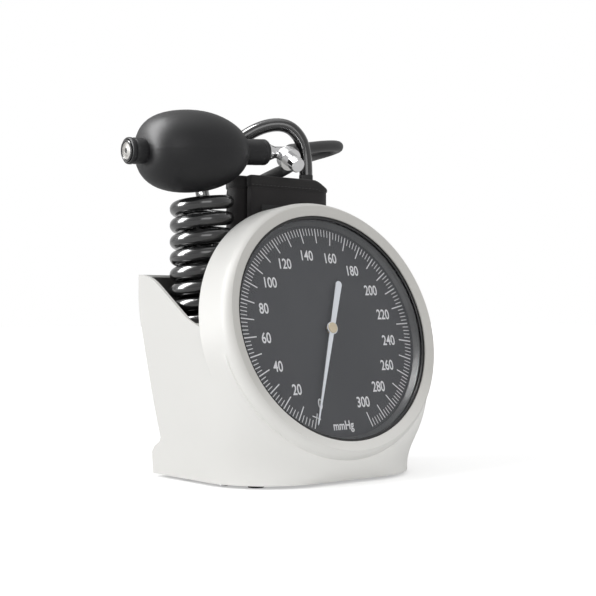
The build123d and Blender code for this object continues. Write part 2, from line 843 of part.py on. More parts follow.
def make_inlet_elbow():
    front = case_back_depth - nut_thickness - 0.6 - touch_gap
    elbow = disc(elbow_radius, elbow_end_depth, front)
    middle_depth = (elbow_end_depth + front) / 2
    elbow += Pos(0, -elbow_radius + 0.6, middle_depth) * Rot(90, 0, 0) * barb(barb_length)
    elbow -= Pos(0, 1, middle_depth) * Rot(90, 0, 0) * Pos(0, 0, 10) * Cylinder(barb_bore, 20)
    elbow -= disc(barb_bore, middle_depth, front + 1)
    return on_dial * Pos(0, pusher_up, 0) * elbow


def make_hairspring():
    # Half circles whose centres step from side to side make a flat spiral
    outer = []
    inner = []
    radius = hairspring_inner
    centre = 0.0
    side = 1
    start_x = centre + radius
    for index in range(hairspring_turns * 2):
        for edges, grow in ((outer, hairspring_strip / 2), (inner, -hairspring_strip / 2)):
            reach = radius + grow
            edges.append(ThreePointArc((centre + side * reach, 0), (centre, side * reach),
                                       (centre - side * reach, 0)))
        end_x = centre - side * radius
        radius += hairspring_step / 4
        centre = end_x + side * radius
        side = -side
    half_strip = hairspring_strip / 2
    last_side = side
    start_cap = Line((start_x - half_strip, 0), (start_x + half_strip, 0))
    end_cap = Line((end_x + last_side * half_strip, 0), (end_x - last_side * half_strip, 0))
    face = make_face(outer + inner + [start_cap, end_cap])
    spring = Pos(0, 0, hairspring_back) * extrude(face, amount=hairspring_height)
    return on_dial * spring


def biarc(start, start_direction, end, end_direction):
    # Two arcs that leave start and reach end along the given directions
    start, end = Vector(*start), Vector(*end)
    first, last = Vector(*start_direction).normalized(), Vector(*end_direction).normalized()
    across = end - start
    both = first + last
    straightness = 2 * (1 - first.dot(last))
    if straightness < 1e-9:
        reach = across.dot(across) / (4 * across.dot(last))
    else:
        turn = across.dot(both)
        reach = (-turn + sqrt(turn ** 2 + straightness * across.dot(across))) / straightness
    before, after = start + first * reach, end - last * reach
    middle = (before + after) * 0.5
    return [TangentArc(start, middle, tangent=first),
            TangentArc(middle, end, tangent=(after - before).normalized())]


def coil_point(turn):
    # The helix rises anticlockwise seen from above; turn counts whole turns from its start
    angle = 2 * pi * turn
    return (coil_x + coil_mean_radius * cos(angle), coil_y + coil_mean_radius * sin(angle),
            coil_start_height + coil_pitch * turn)


def coil_direction(turn):
    angle = 2 * pi * turn
    around_speed = 2 * pi * coil_mean_radius
    return (-around_speed * sin(angle), around_speed * cos(angle), coil_pitch)


def fitting_end_y():
    return seam_y + shell_wall + liner_gap + liner_wall + touch_gap + fitting_flange_thickness


def make_coil_hose():
    level = (0, 1, 0)
    begin = (coil_x + coil_mean_radius, fitting_end_y() + touch_gap, coil_start_height)
    join = (coil_x + coil_mean_radius, coil_y, coil_start_height)
    edges = [Line(begin, join)]
    edges += biarc(join, level, coil_point(0.25), coil_direction(0.25))
    steps = 2 * coil_turns - 1
    for step in range(steps):
        from_turn = 0.25 + step / 2
        to_turn = min(from_turn + 0.5, coil_turns - 0.25)
        edges += biarc(coil_point(from_turn), coil_direction(from_turn),
                       coil_point(to_turn), coil_direction(to_turn))
    finish = coil_point(coil_turns)
    edges += biarc(coil_point(coil_turns - 0.25), coil_direction(coil_turns - 0.25), finish, level)
    tail_end = (finish[0], finish[1] + tube_diameter, finish[2])
    edges.append(Line(finish, tail_end))
    path = Wire(edges)
    section = Plane(origin=begin, z_dir=level) * (
        Circle(tube_diameter / 2))
    hose = sweep(section, path=path)
    bore_place = Pos(*begin) * Rot(-90, 0, 0) * Pos(0, 0, fitting_reach / 2 - 0.5)
    hose -= bore_place * Cylinder(barb_radius + barb_step, fitting_reach + 1)
    print("coil hose: centre line", round(path.length, 1), "volume share",
          round(hose.volume / (path.length * pi * tube_diameter ** 2 / 4), 3))
    report_coil_gap()
    return hose


def report_coil_gap():
    samples = [coil_point(turn / 90) for turn in range(90 * coil_turns + 1)]
    least = far
    for index, (x, y, height) in enumerate(samples[:200]):
        for other_x, other_y, other_height in samples[index + 45:index + 200]:
            least = min(least, hypot(hypot(x - other_x, y - other_y), height - other_height))
    print("coil hose: least gap to itself", round(least - tube_diameter, 2))


def free_hose(name, points, diameter):
    # Straight runs joined by tangent arcs, each as large as its two runs allow
    radii = []
    runs = [Vector(*after) - Vector(*before) for before, after in zip(points, points[1:])]
    for before, after in zip(runs, runs[1:]):
        turn = before.get_angle(after)
        shorter = min(before.length, after.length)
        radii.append(0.45 * shorter / tan(radians(turn) / 2))
    path = FilletPolyline(*points, radius=radii)
    section = Plane(origin=points[0], z_dir=runs[0]) * Circle(diameter / 2)
    hose = sweep(section, path=path)
    print(name + ": centre line", round(path.length, 1), "volume share",
          round(hose.volume / (path.length * pi * diameter ** 2 / 4), 3),
          "radii", [round(radius) for radius in radii], "runs", [round(run.length) for run in runs])
    return hose


def cuff_hose_points():
    start_x, start_y, start_height = coil_point(coil_turns)
    return [(start_x, start_y + tube_diameter + touch_gap, start_height), (start_x, 47.0, start_height),
            (-40.8, 57.0, 188.5), (-33.0, 56.5, 206.0), (-21.5, 46.5, 218.0), (-5.0, 37.0, 230.3),
            (10.6, 30.0, 232.3), (20.4, 26.4, 223.3), (24.3, 26.2, 210.0),
            (24.3, 26.1, cuff_top_height + port_stand)]


def make_cuff_hose():
    return free_hose("cuff hose", cuff_hose_points(), tube_diameter)


def bulb_axis():
    start = Vector(bulb_left_x, bulb_y, bulb_left_height)
    end = Vector(bulb_right_x, bulb_y, bulb_right_height)
    return start, (end - start).normalized(), (end - start).length


def on_bulb():
    # Heights along this frame run along the bulb, from its left end to its right end
    start, direction, length = bulb_axis()
    return Location(Plane(origin=start, x_dir=(0, -1, 0), z_dir=direction))


def bulb_point(along):
    start, direction, length = bulb_axis()
    return start + direction * along


def bulb_profile(inset):
    length = bulb_axis()[2]
    collar, neck = bulb_collar_radius, bulb_neck_radius
    body_start, body_end = bulb_collar_length, length - bulb_neck_length
    widest = bulb_radius - inset
    first = (collar - 0.5 - inset, body_start + inset)
    last = (neck - 0.5 - inset, body_end - inset)
    middle = (widest, bulb_widest)
    blunt = 0.78
    rise = bulb_widest - first[1]
    fall = last[1] - bulb_widest
    left = Bezier(first, (first[0] + (widest - first[0]) * blunt, first[1] + 0.6),
                  (widest, bulb_widest - rise * 0.52), middle)
    right = Bezier(middle, (widest, bulb_widest + fall * 0.6),
                   (last[0] + (widest - last[0]) * 0.42, last[1] - fall * 0.06), last)
    return first, last, left, right


def make_inflation_bulb():
    length = bulb_axis()[2]
    first, last, left, right = bulb_profile(0)
    outside = [Line((0, 0), (bulb_collar_radius, 0)),
               Line((bulb_collar_radius, 0), (bulb_collar_radius, first[1])),
               Line((bulb_collar_radius, first[1]), first), left, right,
               Line(last, (bulb_neck_radius, last[1])),
               Line((bulb_neck_radius, last[1]), (bulb_neck_radius, length)),
               Line((bulb_neck_radius, length), (0, length)), Line((0, length), (0, 0))]
    bulb = revolved(outside)
    inner_first, inner_last, inner_left, inner_right = bulb_profile(bulb_wall)
    inside = [Line((0, inner_first[1]), inner_first), inner_left, inner_right,
              Line(inner_last, (0, inner_last[1])), Line((0, inner_last[1]), (0, inner_first[1]))]
    bulb -= revolved(inside)
    bulb -= disc(inlet_radius + touch_gap, -1, inlet_length + touch_gap)
    bulb -= disc(inlet_radius - 2.0, -1, bulb_collar_length + bulb_wall + 1)
    bulb -= disc(valve_radius + touch_gap, length - valve_tail - touch_gap, length + 1)
    bulb -= disc(valve_radius - 1.2, length - bulb_neck_length - bulb_wall - 1, length)
    return on_bulb() * bulb


def make_inlet_valve():
    # The cup at the bulb's left end; the loose flap lies in its chamber
    body = disc(inlet_radius, -1.0, inlet_length)
    chamber_back = inlet_length - 1.2 - flap_thickness - flap_travel - 0.3
    body -= disc(flap_radius + part_gap, chamber_back, inlet_length - 1.2)
    body -= disc(inlet_hole_radius, -2, chamber_back + 1)
    for place in around(2.4, 3):
        body -= place * disc(0.8, inlet_length - 2, inlet_length + 1)
    body -= disc(inlet_hole_radius + 1.4, -2, -0.4)
    flap = disc(flap_radius, chamber_back + 0.15, chamber_back + 0.15 + flap_thickness)
    return on_bulb() * body, on_bulb() * flap


def on_knob():
    lean = radians(knob_tilt)
    origin = bulb_point(bulb_axis()[2] + knob_from_neck)
    return Location(Plane(origin=origin, x_dir=(1, 0, 0), z_dir=(0, -cos(lean), -sin(lean))))


def make_valve_body():
    length = bulb_axis()[2]
    body = disc(valve_radius, length - valve_tail, length + valve_length)
    taper_start = length + valve_flange_length
    body += disc(valve_flange_radius, length + touch_gap, taper_start)
    body += Pos(0, 0, taper_start) * Cone(valve_flange_radius, valve_radius, valve_taper_length,
                                          align=(Align.CENTER, Align.CENTER, Align.MIN))
    spigot_end = length + valve_length + spigot_length
    body += disc(barb_radius + 0.2, length + valve_length - 1, spigot_end)
    body -= disc(1.2, length - valve_tail - 1, spigot_end + 1)
    stub = disc(stub_radius, 0, stub_reach)
    body = on_bulb() * body + on_knob() * stub
    body -= on_knob() * disc(needle_radius + 0.35, -1.2, stub_reach + 1)
    return body


def make_release_screw():
    start = stub_reach + touch_gap
    knob = disc(collar_radius, start, start + collar_length)
    for index in range(3):
        groove_at = start + 1.2 + index * 1.6
        knob -= ring(collar_radius + 1, collar_radius - collar_groove, groove_at, groove_at + 0.7)
    end = start + collar_length + grip_length
    grip = disc(grip_radius, start + collar_length, end)
    grip = chamfer(grip.edges().filter_by(GeomType.CIRCLE).sort_by(Axis.Z)[-1:], 0.5)
    knob += grip
    knob -= disc(needle_radius + 0.1, start - 1, start + collar_length)
    return on_knob() * knob


def make_valve_needle():
    tip = Pos(0, 0, -1.0) * Cone(0.3, needle_radius, 2.0, align=(Align.CENTER, Align.CENTER, Align.MIN))
    needle = tip + disc(needle_radius, 0.9, stub_reach + collar_length - 1.0)
    return on_knob() * needle


def bulb_hose_points():
    # Past the cuff hose, round a loop beyond the cuff, and back down into its top
    length = bulb_axis()[2]
    start = bulb_point(length + valve_length + touch_gap)
    end, direction = bulb_port()
    return [tuple(start), tuple(bulb_point(length + valve_length + 5.8)), (11.9, 24.6, 213.0),
            (14.0, 31.5, 214.5), (23.0, 41.0, 217.3), (39.0, 48.5, 220.2), (63.0, 53.0, 224.7),
            (82.0, 59.0, 226.8), (86.0, 76.0, 225.6), (68.0, 76.5, 220.2), (47.0, 62.0, 214.5),
            (30.0, 46.0, 209.5), tuple(end + direction * 11.0), tuple(end)]


def bulb_port():
    # Where the bulb's hose meets its port on the cuff, and the port's direction
    direction = Vector(0.903, 0.0, 0.429).normalized()
    foot = Vector(bulb_port_x, bulb_port_y, cuff_top_height)
    return foot + direction * bulb_port_stand, direction


def make_bulb_hose():
    hose = free_hose("bulb hose", bulb_hose_points(), bulb_hose_diameter)
    start, direction, length = bulb_axis()
    spigot = disc(barb_radius + 0.3, length + valve_length - 1, length + valve_length + spigot_length + 0.3)
    return hose - on_bulb() * spigot


def make_hose_fitting():
    # Through the bin's front wall: a flange on the bin side, a nut and an elbow inside
    liner_face = fitting_end_y() - fitting_flange_thickness
    x, height = coil_x + coil_mean_radius, coil_start_height
    fitting = disc(fitting_flange_radius, 0, fitting_flange_thickness)
    fitting += disc(barb_radius, fitting_flange_thickness - 0.1, fitting_flange_thickness + fitting_reach - 1.5)
    inside = liner_face - seam_y + fitting_depth
    fitting += disc(fitting_thread_radius, -inside, 0)
    fitting += Pos(0, -fitting_thread_radius + 0.5, -inside + elbow_radius) * Rot(90, 0, 0) * barb(barb_length)
    fitting -= disc(barb_bore, -inside + elbow_radius, fitting_reach + 3)
    fitting -= Pos(0, 1, -inside + elbow_radius) * Rot(90, 0, 0) * Pos(0, 0, 10) * Cylinder(barb_bore, 20)
    place = Location(Plane(origin=(x, liner_face, height), x_dir=(-1, 0, 0), z_dir=(0, 1, 0)))
    nut = ring(fitting_flange_radius, fitting_thread_radius + touch_gap, -liner_face - 2.4, -liner_face - touch_gap)
    return place * fitting, place * nut


def gauge_hose_points():
    lean = radians(dial_lean)
    middle_depth = (elbow_end_depth + case_back_depth - nut_thickness - 0.6 - touch_gap) / 2
    up = pusher_up - elbow_radius - part_gap
    x, height = coil_x + coil_mean_radius, coil_start_height
    elbow_y = hub_y + up * sin(lean) - middle_depth * cos(lean)
    elbow_height = hub_height + up * cos(lean) + middle_depth * sin(lean)
    first = (0.0, elbow_y - gauge_hose_run * sin(lean), elbow_height - gauge_hose_run * cos(lean))
    near = (gauge_hose_near_x, gauge_hose_near_y, gauge_hose_near_height)
    far_point = (gauge_hose_far_x, gauge_hose_far_y, gauge_hose_far_height)
    fitting_y = seam_y - fitting_depth + elbow_radius
    fitting_low = height - fitting_thread_radius - part_gap
    return [(0.0, elbow_y, elbow_height), first, near, far_point,
            (x, fitting_y, gauge_hose_end_height), (x, fitting_y, fitting_low)]


def make_gauge_hose():
    hose = free_hose("gauge hose", gauge_hose_points(), gauge_hose_diameter)
    points = gauge_hose_points()
    for end, inner in ((points[0], points[1]), (points[-1], points[-2])):
        direction = (Vector(*inner) - Vector(*end)).normalized()
        place = Location(Plane(origin=Vector(*end) - direction, z_dir=direction))
        hose -= place * disc(barb_radius + barb_step + 0.1, 0, barb_length + 1.4)
    return hose


def cuff_plan(height, inset):
    half_x = (cuff_right_x - cuff_left_x) / 2 - inset
    half_y = (cuff_back_y - cuff_front_y) / 2 - inset
    middle_x = (cuff_right_x + cuff_left_x) / 2
    middle_y = (cuff_back_y + cuff_front_y) / 2
    corner = min(cuff_corner_radius, half_y - 1)
    return Pos(middle_x, middle_y, height) * RectangleRounded(2 * half_x, 2 * half_y, corner)


def cuff_floor():
    return bin_floor_height + liner_gap + liner_wall + part_gap


def make_cuff():
    floor_height = cuff_floor()
    stages = [(floor_height, 1.5), (floor_height + 8, 0.2), (100.0, 0.0), (150.0, 0.0),
              (cuff_top_height - 9, 0.4), (cuff_top_height - 2.5, 2.6), (cuff_top_height, 5.5)]
    cuff = loft([cuff_plan(height, inset) for height, inset in stages], ruled=True)
    cuff &= bin_space(liner_gap + liner_wall + part_gap) + upper_space()
    cuff -= shoulder_wedge()
    depth = cuff_back_y - cuff_front_y
    width = cuff_right_x - cuff_left_x
    for share in (0.27, 0.5, 0.73):
        fold_y = cuff_front_y + depth * share
        cuff -= Pos((cuff_left_x + cuff_right_x) / 2, fold_y, cuff_top_height) * Box(
            width + 10, cuff_fold_width, cuff_fold_depth)
        side_x = cuff_left_x if share == 0.5 else cuff_right_x
        cuff -= Pos(side_x, fold_y, (floor_height + cuff_top_height) / 2) * Box(
            cuff_fold_depth, cuff_fold_width, far)
    cuff -= bladder_space(0)
    cuff -= make_ports(bladder_clear)
    return cuff


def shoulder_wedge():
    # What the folded cuff's top right shoulder slopes away
    inner_x, outer_x = cuff_right_x - cuff_shoulder_width, cuff_right_x + cuff_shoulder_width
    corners = [(inner_x, cuff_top_height), (outer_x, cuff_top_height - 2 * cuff_shoulder_drop),
               (outer_x, cuff_top_height + 1), (inner_x, cuff_top_height + 1)]
    return extrude(Plane.XZ * make_face(Polyline(*corners, close=True)), amount=far, both=True)


def bladder_space(inset):
    floor_height = cuff_floor() + bladder_wall_clear
    middle_x = (cuff_left_x + cuff_right_x) / 2
    width = cuff_right_x - cuff_left_x - 2 * (bladder_wall_clear + cuff_fold_depth / 2)
    top = cuff_top_height - cuff_fold_depth - bladder_top_clear
    middle_y = cuff_front_y + (cuff_back_y - cuff_front_y) * 0.385
    return Pos(middle_x, middle_y, (floor_height + top) / 2) * Box(
        width - 2 * inset, bladder_thickness - 2 * inset, top - floor_height - 2 * inset)


def upper_space():
    # All the room above the bin's rim
    return Pos(0, 0, bin_top_height + far / 2) * Box(far, far, far)


def make_ports(clear):
    # Both ports reach down into the bladder; the slanted one has an elbow inside the cuff
    end, direction = bulb_port()
    bulb_place = Location(Plane(origin=end, z_dir=direction))
    ports = Pos(*cuff_hose_points()[-1]) * disc(port_radius + clear, -port_stand - port_reach, -touch_gap)
    slanted_radius = port_radius - 0.6 + clear
    ports += bulb_place * disc(slanted_radius, -bulb_port_stand - slanted_port_reach, -touch_gap)
    elbow = end - direction * (bulb_port_stand + 6.0)
    ports += Pos(*elbow) * Sphere(slanted_radius)
    ports += Pos(*elbow) * disc(slanted_radius, -10.0, 0)
    return ports


def make_bladder():
    return bladder_space(bladder_clear) + make_ports(0)


def make_hook_tape():
    floor_height = cuff_floor()
    tall = cuff_top_height - floor_height - 2 * hook_inset
    middle_x = (cuff_left_x + cuff_right_x) / 2
    return Pos(middle_x, cuff_front_y - 0.6 * hook_thickness, floor_height + hook_inset + tall / 2) * Box(
        hook_width, hook_thickness, tall)


def write_node(name, shape):
    if isinstance(shape, (list, tuple)):
        solids = []
        for piece in shape:
            solids += list(piece.solids())
        shape = Compound(children=[Solid(solid.wrapped) for solid in solids])
    export_step(Pos(foot_x, -front_foot_y, 0) * shape, "parts/" + name + ".step")


write_node("front_shell", make_front_shell())
write_node("rear_shell", make_rear_shell())
write_node("bin_liner", make_bin_liner())
write_node("base_plate", make_base_plate())
write_node("rubber_feet", make_rubber_feet())
write_node("base_screws", make_base_screws())
write_node("gauge_cover", make_gauge_cover())
write_node("gauge_case", make_gauge_case())
write_node("case_screws", make_case_screws())
write_node("bezel_ring", make_bezel_ring())
write_node("reflector_ring", make_reflector_ring())
write_node("lens", make_lens())
write_node("lens_gasket", make_lens_gasket())
write_node("dial_plate", make_dial_plate())
write_node("dial_feet", make_dial_feet())
write_node("pointer", make_pointer())
write_node("pointer_collet", make_pointer_hub()[0])
write_node("pointer_cap", make_pointer_hub()[1])
write_node("pointer_shaft", make_pointer_shaft())
write_node("sector_gear", make_sector_gear())
write_node("movement_front_plate", make_front_plate())
write_node("movement_back_plate", make_back_plate())
write_node("movement_pillars", make_pillars())
write_node("movement_screws", make_movement_screws())
write_node("rocker_shaft", make_rocker())
write_node("capsule_pusher", make_pusher())
write_node("pressure_capsule", make_capsule())
write_node("capsule_nut", make_capsule_nut())
write_node("inlet_elbow", make_inlet_elbow())
write_node("hairspring", make_hairspring())
write_node("coil_hose", make_coil_hose())
write_node("cuff_hose", make_cuff_hose())
write_node("inflation_bulb", make_inflation_bulb())
write_node("bulb_inlet_valve", make_inlet_valve()[0])
write_node("inlet_flap", make_inlet_valve()[1])
write_node("release_valve_body", make_valve_body())
write_node("release_screw", make_release_screw())
write_node("valve_needle", make_valve_needle())
write_node("bulb_hose", make_bulb_hose())
write_node("hose_fitting", make_hose_fitting()[0])
write_node("fitting_nut", make_hose_fitting()[1])
write_node("gauge_hose", make_gauge_hose())
write_node("cuff", make_cuff())
write_node("cuff_bladder", make_bladder())
write_node("hook_tape", make_hook_tape())
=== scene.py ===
import bpy
import bmesh
import json
from math import atan2, cos, pi, radians, sin
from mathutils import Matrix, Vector

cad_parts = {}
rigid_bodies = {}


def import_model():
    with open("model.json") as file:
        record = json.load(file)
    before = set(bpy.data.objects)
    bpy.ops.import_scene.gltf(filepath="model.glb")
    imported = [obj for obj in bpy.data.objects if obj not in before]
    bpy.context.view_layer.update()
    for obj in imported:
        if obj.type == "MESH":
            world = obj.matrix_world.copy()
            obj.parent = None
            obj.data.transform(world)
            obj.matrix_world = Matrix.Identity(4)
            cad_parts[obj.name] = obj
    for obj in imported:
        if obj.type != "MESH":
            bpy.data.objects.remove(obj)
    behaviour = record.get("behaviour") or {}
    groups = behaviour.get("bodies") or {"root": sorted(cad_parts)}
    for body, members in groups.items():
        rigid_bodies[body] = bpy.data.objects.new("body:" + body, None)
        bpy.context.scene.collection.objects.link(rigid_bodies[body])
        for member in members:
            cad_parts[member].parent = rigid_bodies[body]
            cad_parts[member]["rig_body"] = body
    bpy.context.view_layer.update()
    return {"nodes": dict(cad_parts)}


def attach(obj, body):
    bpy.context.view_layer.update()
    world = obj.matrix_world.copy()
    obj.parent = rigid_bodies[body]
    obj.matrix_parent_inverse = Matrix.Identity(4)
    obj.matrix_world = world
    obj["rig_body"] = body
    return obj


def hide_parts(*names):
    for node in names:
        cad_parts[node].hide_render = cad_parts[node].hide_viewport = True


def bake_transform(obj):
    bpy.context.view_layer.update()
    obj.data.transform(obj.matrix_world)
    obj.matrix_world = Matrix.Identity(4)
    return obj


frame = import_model()
print("frame loaded:", len(frame["nodes"]), "nodes")

# Drawing millimetres, measured from the housing's middle, become metres from the front left foot
footOffset = (54.0, 26.6, 0.0)
tilt = radians(15.9)                  # how far the dial leans back
hub = (0.0, -30.0, 94.4)


def rowPoint(x, y, z):
    return Vector(((x + footOffset[0]) / 1000, (y + footOffset[1]) / 1000, (z + footOffset[2]) / 1000))


def dialPoint(x, up, depth):
    # up runs along the dial's face, depth straight out of it
    y = hub[1] + up * sin(tilt) - depth * cos(tilt)
    z = hub[2] + up * cos(tilt) + depth * sin(tilt)
    return rowPoint(x, y, z)


# Shader maths

# A node's output that can be used in sums
class Socket:
    def __init__(self, tree, plug):
        self.tree = tree
        self.plug = plug

    def maths(self, operation, first, second=None, clamp=False):
        made = self.tree.nodes.new("ShaderNodeMath")
        made.operation = operation
        made.use_clamp = clamp
        for index, value in enumerate((first, second)):
            if isinstance(value, Socket):
                self.tree.links.new(value.plug, made.inputs[index])
            elif value is not None:
                made.inputs[index].default_value = value
        return Socket(self.tree, made.outputs[0])

    def __add__(self, other):
        return self.maths("ADD", self, other)

    def __radd__(self, other):
        return self.maths("ADD", other, self)

    def __sub__(self, other):
        return self.maths("SUBTRACT", self, other)

    def __rsub__(self, other):
        return self.maths("SUBTRACT", other, self)

    def __mul__(self, other):
        return self.maths("MULTIPLY", self, other)

    def __rmul__(self, other):
        return self.maths("MULTIPLY", other, self)

    def __pow__(self, other):
        return self.maths("POWER", self, other)

    def __gt__(self, other):
        return self.maths("GREATER_THAN", self, other)

    def __lt__(self, other):
        return self.maths("LESS_THAN", self, other)

    def sine(self):
        return self.maths("SINE", self)

    def absolute(self):
        return self.maths("ABSOLUTE", self)

    def clamped(self):
        return self.maths("ADD", self, 0.0, clamp=True)


def rise(value, low, high):
    # 0 up to low, 1 from high on, straight between them
    return ((value - low) * (1 / (high - low))).clamped()


# A material with one method that makes its nodes
class Finish:
    def __init__(self, name, **sockets):
        self.material = bpy.data.materials.new(name)
        self.material.use_nodes = True
        self.tree = self.material.node_tree
        self.tree.nodes.clear()
        self.shader = self.make("ShaderNodeBsdfPrincipled", {}, sockets)
        self.make("ShaderNodeOutputMaterial", {}, {"Surface": self.pick(self.shader, "BSDF")})

    def make(self, kind, settings, sockets):
        made = self.tree.nodes.new(kind)
        for name, value in settings.items():
            setattr(made, name, value)
        for name, value in sockets.items():
            if isinstance(value, Socket):
                self.tree.links.new(value.plug, made.inputs[name])
            else:
                made.inputs[name].default_value = value
        return made

    def pick(self, made, output):
        return Socket(self.tree, made.outputs[output])

    def noise(self, place, scale, detail):
        made = self.make("ShaderNodeTexNoise", {}, {"Vector": place, "Scale": scale, "Detail": detail})
        return self.pick(made, 0)

    def place(self):
        return self.pick(self.make("ShaderNodeTexCoord", {}, {}), "Object")

    def apart(self, vector):
        made = self.make("ShaderNodeSeparateXYZ", {}, {"Vector": vector})
        return [self.pick(made, axis) for axis in "XYZ"]

    def blendColors(self, share, first, second):
        made = self.make("ShaderNodeMix", {"data_type": "RGBA"}, {"Factor": share})
        for socket, value in zip([plug for plug in made.inputs if plug.type == "RGBA"], (first, second)):
            if isinstance(value, Socket):
                self.tree.links.new(value.plug, socket)
            else:
                socket.default_value = (*value, 1.0)
        return Socket(self.tree, [plug for plug in made.outputs if plug.type == "RGBA"][0])

    def bump(self, height, strength, distance):
        made = self.make("ShaderNodeBump", {}, {"Height": height, "Strength": strength, "Distance": distance})
        self.feed("Normal", self.pick(made, "Normal"))

    def feed(self, socket, value):
        if isinstance(value, Socket):
            self.tree.links.new(value.plug, self.shader.inputs[socket])
        else:
            self.shader.inputs[socket].default_value = value


# What the moulded and cast surfaces share: broad unevenness, fine grain and the grain's relief
surface = {"broadScale": 28.0, "broadDetail": 2.0, "fineDetail": 3.0, "relief": 0.35, "coatRough": 0.08}


def grainFinish(name, color, rough, grain, depth, spread=0.04, varied=0.06, metal=0.0, coat=0.0,
                specular=0.5):
    # Moulded or cast: fine grain, uneven gloss and slight changes of colour
    finish = Finish(name, Metallic=metal, **{"Coat Weight": coat, "Coat Roughness": surface["coatRough"],
                                             "Specular IOR Level": specular})
    place = finish.place()
    fine = finish.noise(place, grain, surface["fineDetail"])
    broad = finish.noise(place, surface["broadScale"], surface["broadDetail"])
    darker = tuple(value * (1 - varied) for value in color)
    lighter = tuple(min(1.0, value * (1 + varied)) for value in color)
    finish.feed("Base Color", finish.blendColors(broad, darker, lighter))
    finish.feed("Roughness", (rough + (fine - 0.5) * spread + (broad - 0.5) * spread).clamped())
    finish.bump(fine, surface["relief"], depth)
    return finish.material


# The housing's white, with painted shade in warm grey on the rim's inner face from its crest to the window,
# weaker towards its foot, and painted shade on the faces at the foot of the notch; sizes in metres
shell = {"white": (0.83, 0.825, 0.80), "slope": (0.56, 0.55, 0.525), "notchShade": (0.03, 0.029, 0.028),
         "slopeRadius": 0.0783, "crestRadius": 0.0825, "slopeDepth": 0.004,
         "fadeLow": -0.095, "fadeHigh": -0.03,
         "rough": 0.4, "spread": 0.05, "specular": 0.14, "grain": 1600, "grainDepth": 0.00004,
         "notchHalf": 0.08275, "notchFront": -0.0045, "notchBack": 0.0045,
         "notchLow": 0.09, "notchHigh": 0.1035}


def shellFinish():
    finish = Finish("whiteShell", **{"Specular IOR Level": shell["specular"]})
    place = finish.place()
    x, y, z = finish.apart(place)
    middle = rowPoint(*hub)
    across, back, up = x - middle.x, y - middle.y, z - middle.z
    depth = up * sin(tilt) - back * cos(tilt)
    radius = (across * across + back * back + up * up - depth * depth).clamped() ** 0.5
    # Painted shade: a warm grey on the rim's inner face, fading out towards the bottom of the dial
    outside = rise(radius, shell["slopeRadius"], shell["crestRadius"])
    fading = rise(back * sin(tilt) + up * cos(tilt), shell["fadeLow"], shell["fadeHigh"])
    sloped = (1 - outside) * (depth > shell["slopeDepth"]) * fading
    # Painted shade: the faces at the foot of the notch are coloured near black
    fromSeam = y - footOffset[1] / 1000
    notch = (across.absolute() < shell["notchHalf"]) * (fromSeam > shell["notchFront"]) \
        * (fromSeam < shell["notchBack"]) * (z > shell["notchLow"]) * (z < shell["notchHigh"])
    fine = finish.noise(place, shell["grain"], surface["fineDetail"])
    broad = finish.noise(place, surface["broadScale"], surface["broadDetail"])
    painted = finish.blendColors(sloped, shell["white"], shell["slope"])
    finish.feed("Base Color", finish.blendColors(notch, painted, shell["notchShade"]))
    finish.feed("Roughness", (shell["rough"] + (fine + broad - 1.0) * shell["spread"]).clamped())
    finish.bump(fine, surface["relief"], shell["grainDepth"])
    return finish.material


whiteShell = shellFinish()
binGrey = grainFinish("binGrey", (0.068, 0.064, 0.062), 0.5, 1900, 0.00006)
basePlastic = grainFinish("basePlastic", (0.62, 0.62, 0.6), 0.55, 1500, 0.00006)
bezelBlack = grainFinish("bezelBlack", (0.012, 0.012, 0.013), 0.22, 900, 0.00001, coat=0.3)
caseBlack = grainFinish("caseBlack", (0.02, 0.02, 0.021), 0.45, 1500, 0.00004)
ringGrey = grainFinish("ringGrey", (0.07, 0.072, 0.075), 0.3, 1200, 0.00001)
footRubber = grainFinish("footRubber", (0.018, 0.018, 0.018), 0.75, 2400, 0.00008)
hoseGloss = grainFinish("hoseGloss", (0.007, 0.007, 0.0075), 0.24, 420, 0.00003, spread=0.08, coat=0.9)
hoseMatt = grainFinish("hoseMatt", (0.026, 0.026, 0.027), 0.46, 700, 0.00004, spread=0.1)
bulbRubber = grainFinish("bulbRubber", (0.012, 0.012, 0.0132), 0.47, 1300, 0.00006, spread=0.14, varied=0.15,
                         specular=0.32)
chrome = grainFinish("chrome", (0.74, 0.74, 0.745), 0.12, 1500, 0.000004, metal=1.0, spread=0.05)
satinDisc = grainFinish("satinDisc", (0.47, 0.46, 0.44), 0.5, 2600, 0.000008, metal=0.1, specular=0.3)
satinSteel = grainFinish("satinSteel", (0.5, 0.5, 0.5), 0.3, 1500, 0.00001, metal=1.0)
brass = grainFinish("brass", (0.58, 0.44, 0.23), 0.3, 1700, 0.00001, metal=1.0)
hubCream = grainFinish("hubCream", (0.62, 0.53, 0.38), 0.38, 1700, 0.00001, metal=0.25)
pointerPaint = grainFinish("pointerPaint", (0.72, 0.745, 0.79), 0.4, 1400, 0.00001)
dialPaint = grainFinish("dialPaint", (0.034, 0.035, 0.041), 0.6, 3200, 0.000012, varied=0.04)
printWhite = grainFinish("printWhite", (0.69, 0.69, 0.71), 0.55, 2600, 0.00002)
print("plain finishes ready")


# How every cloth here is woven: the height of its threads with painted shade in the hollows between them, its
# fuzz and wear, and the light at its edges
weave = {"over": 0.5, "rib": 0.2, "fuzz": 0.35, "fuzzScale": 2400, "wornScale": 45, "noiseDetail": 3.0,
         "heightShade": 0.35, "wornTone": 0.65, "darkest": 0.62, "lightest": 1.45,
         "rough": 0.78, "fuzzRough": 0.18, "sheen": 0.12, "sheenRough": 0.5, "relief": 0.8}


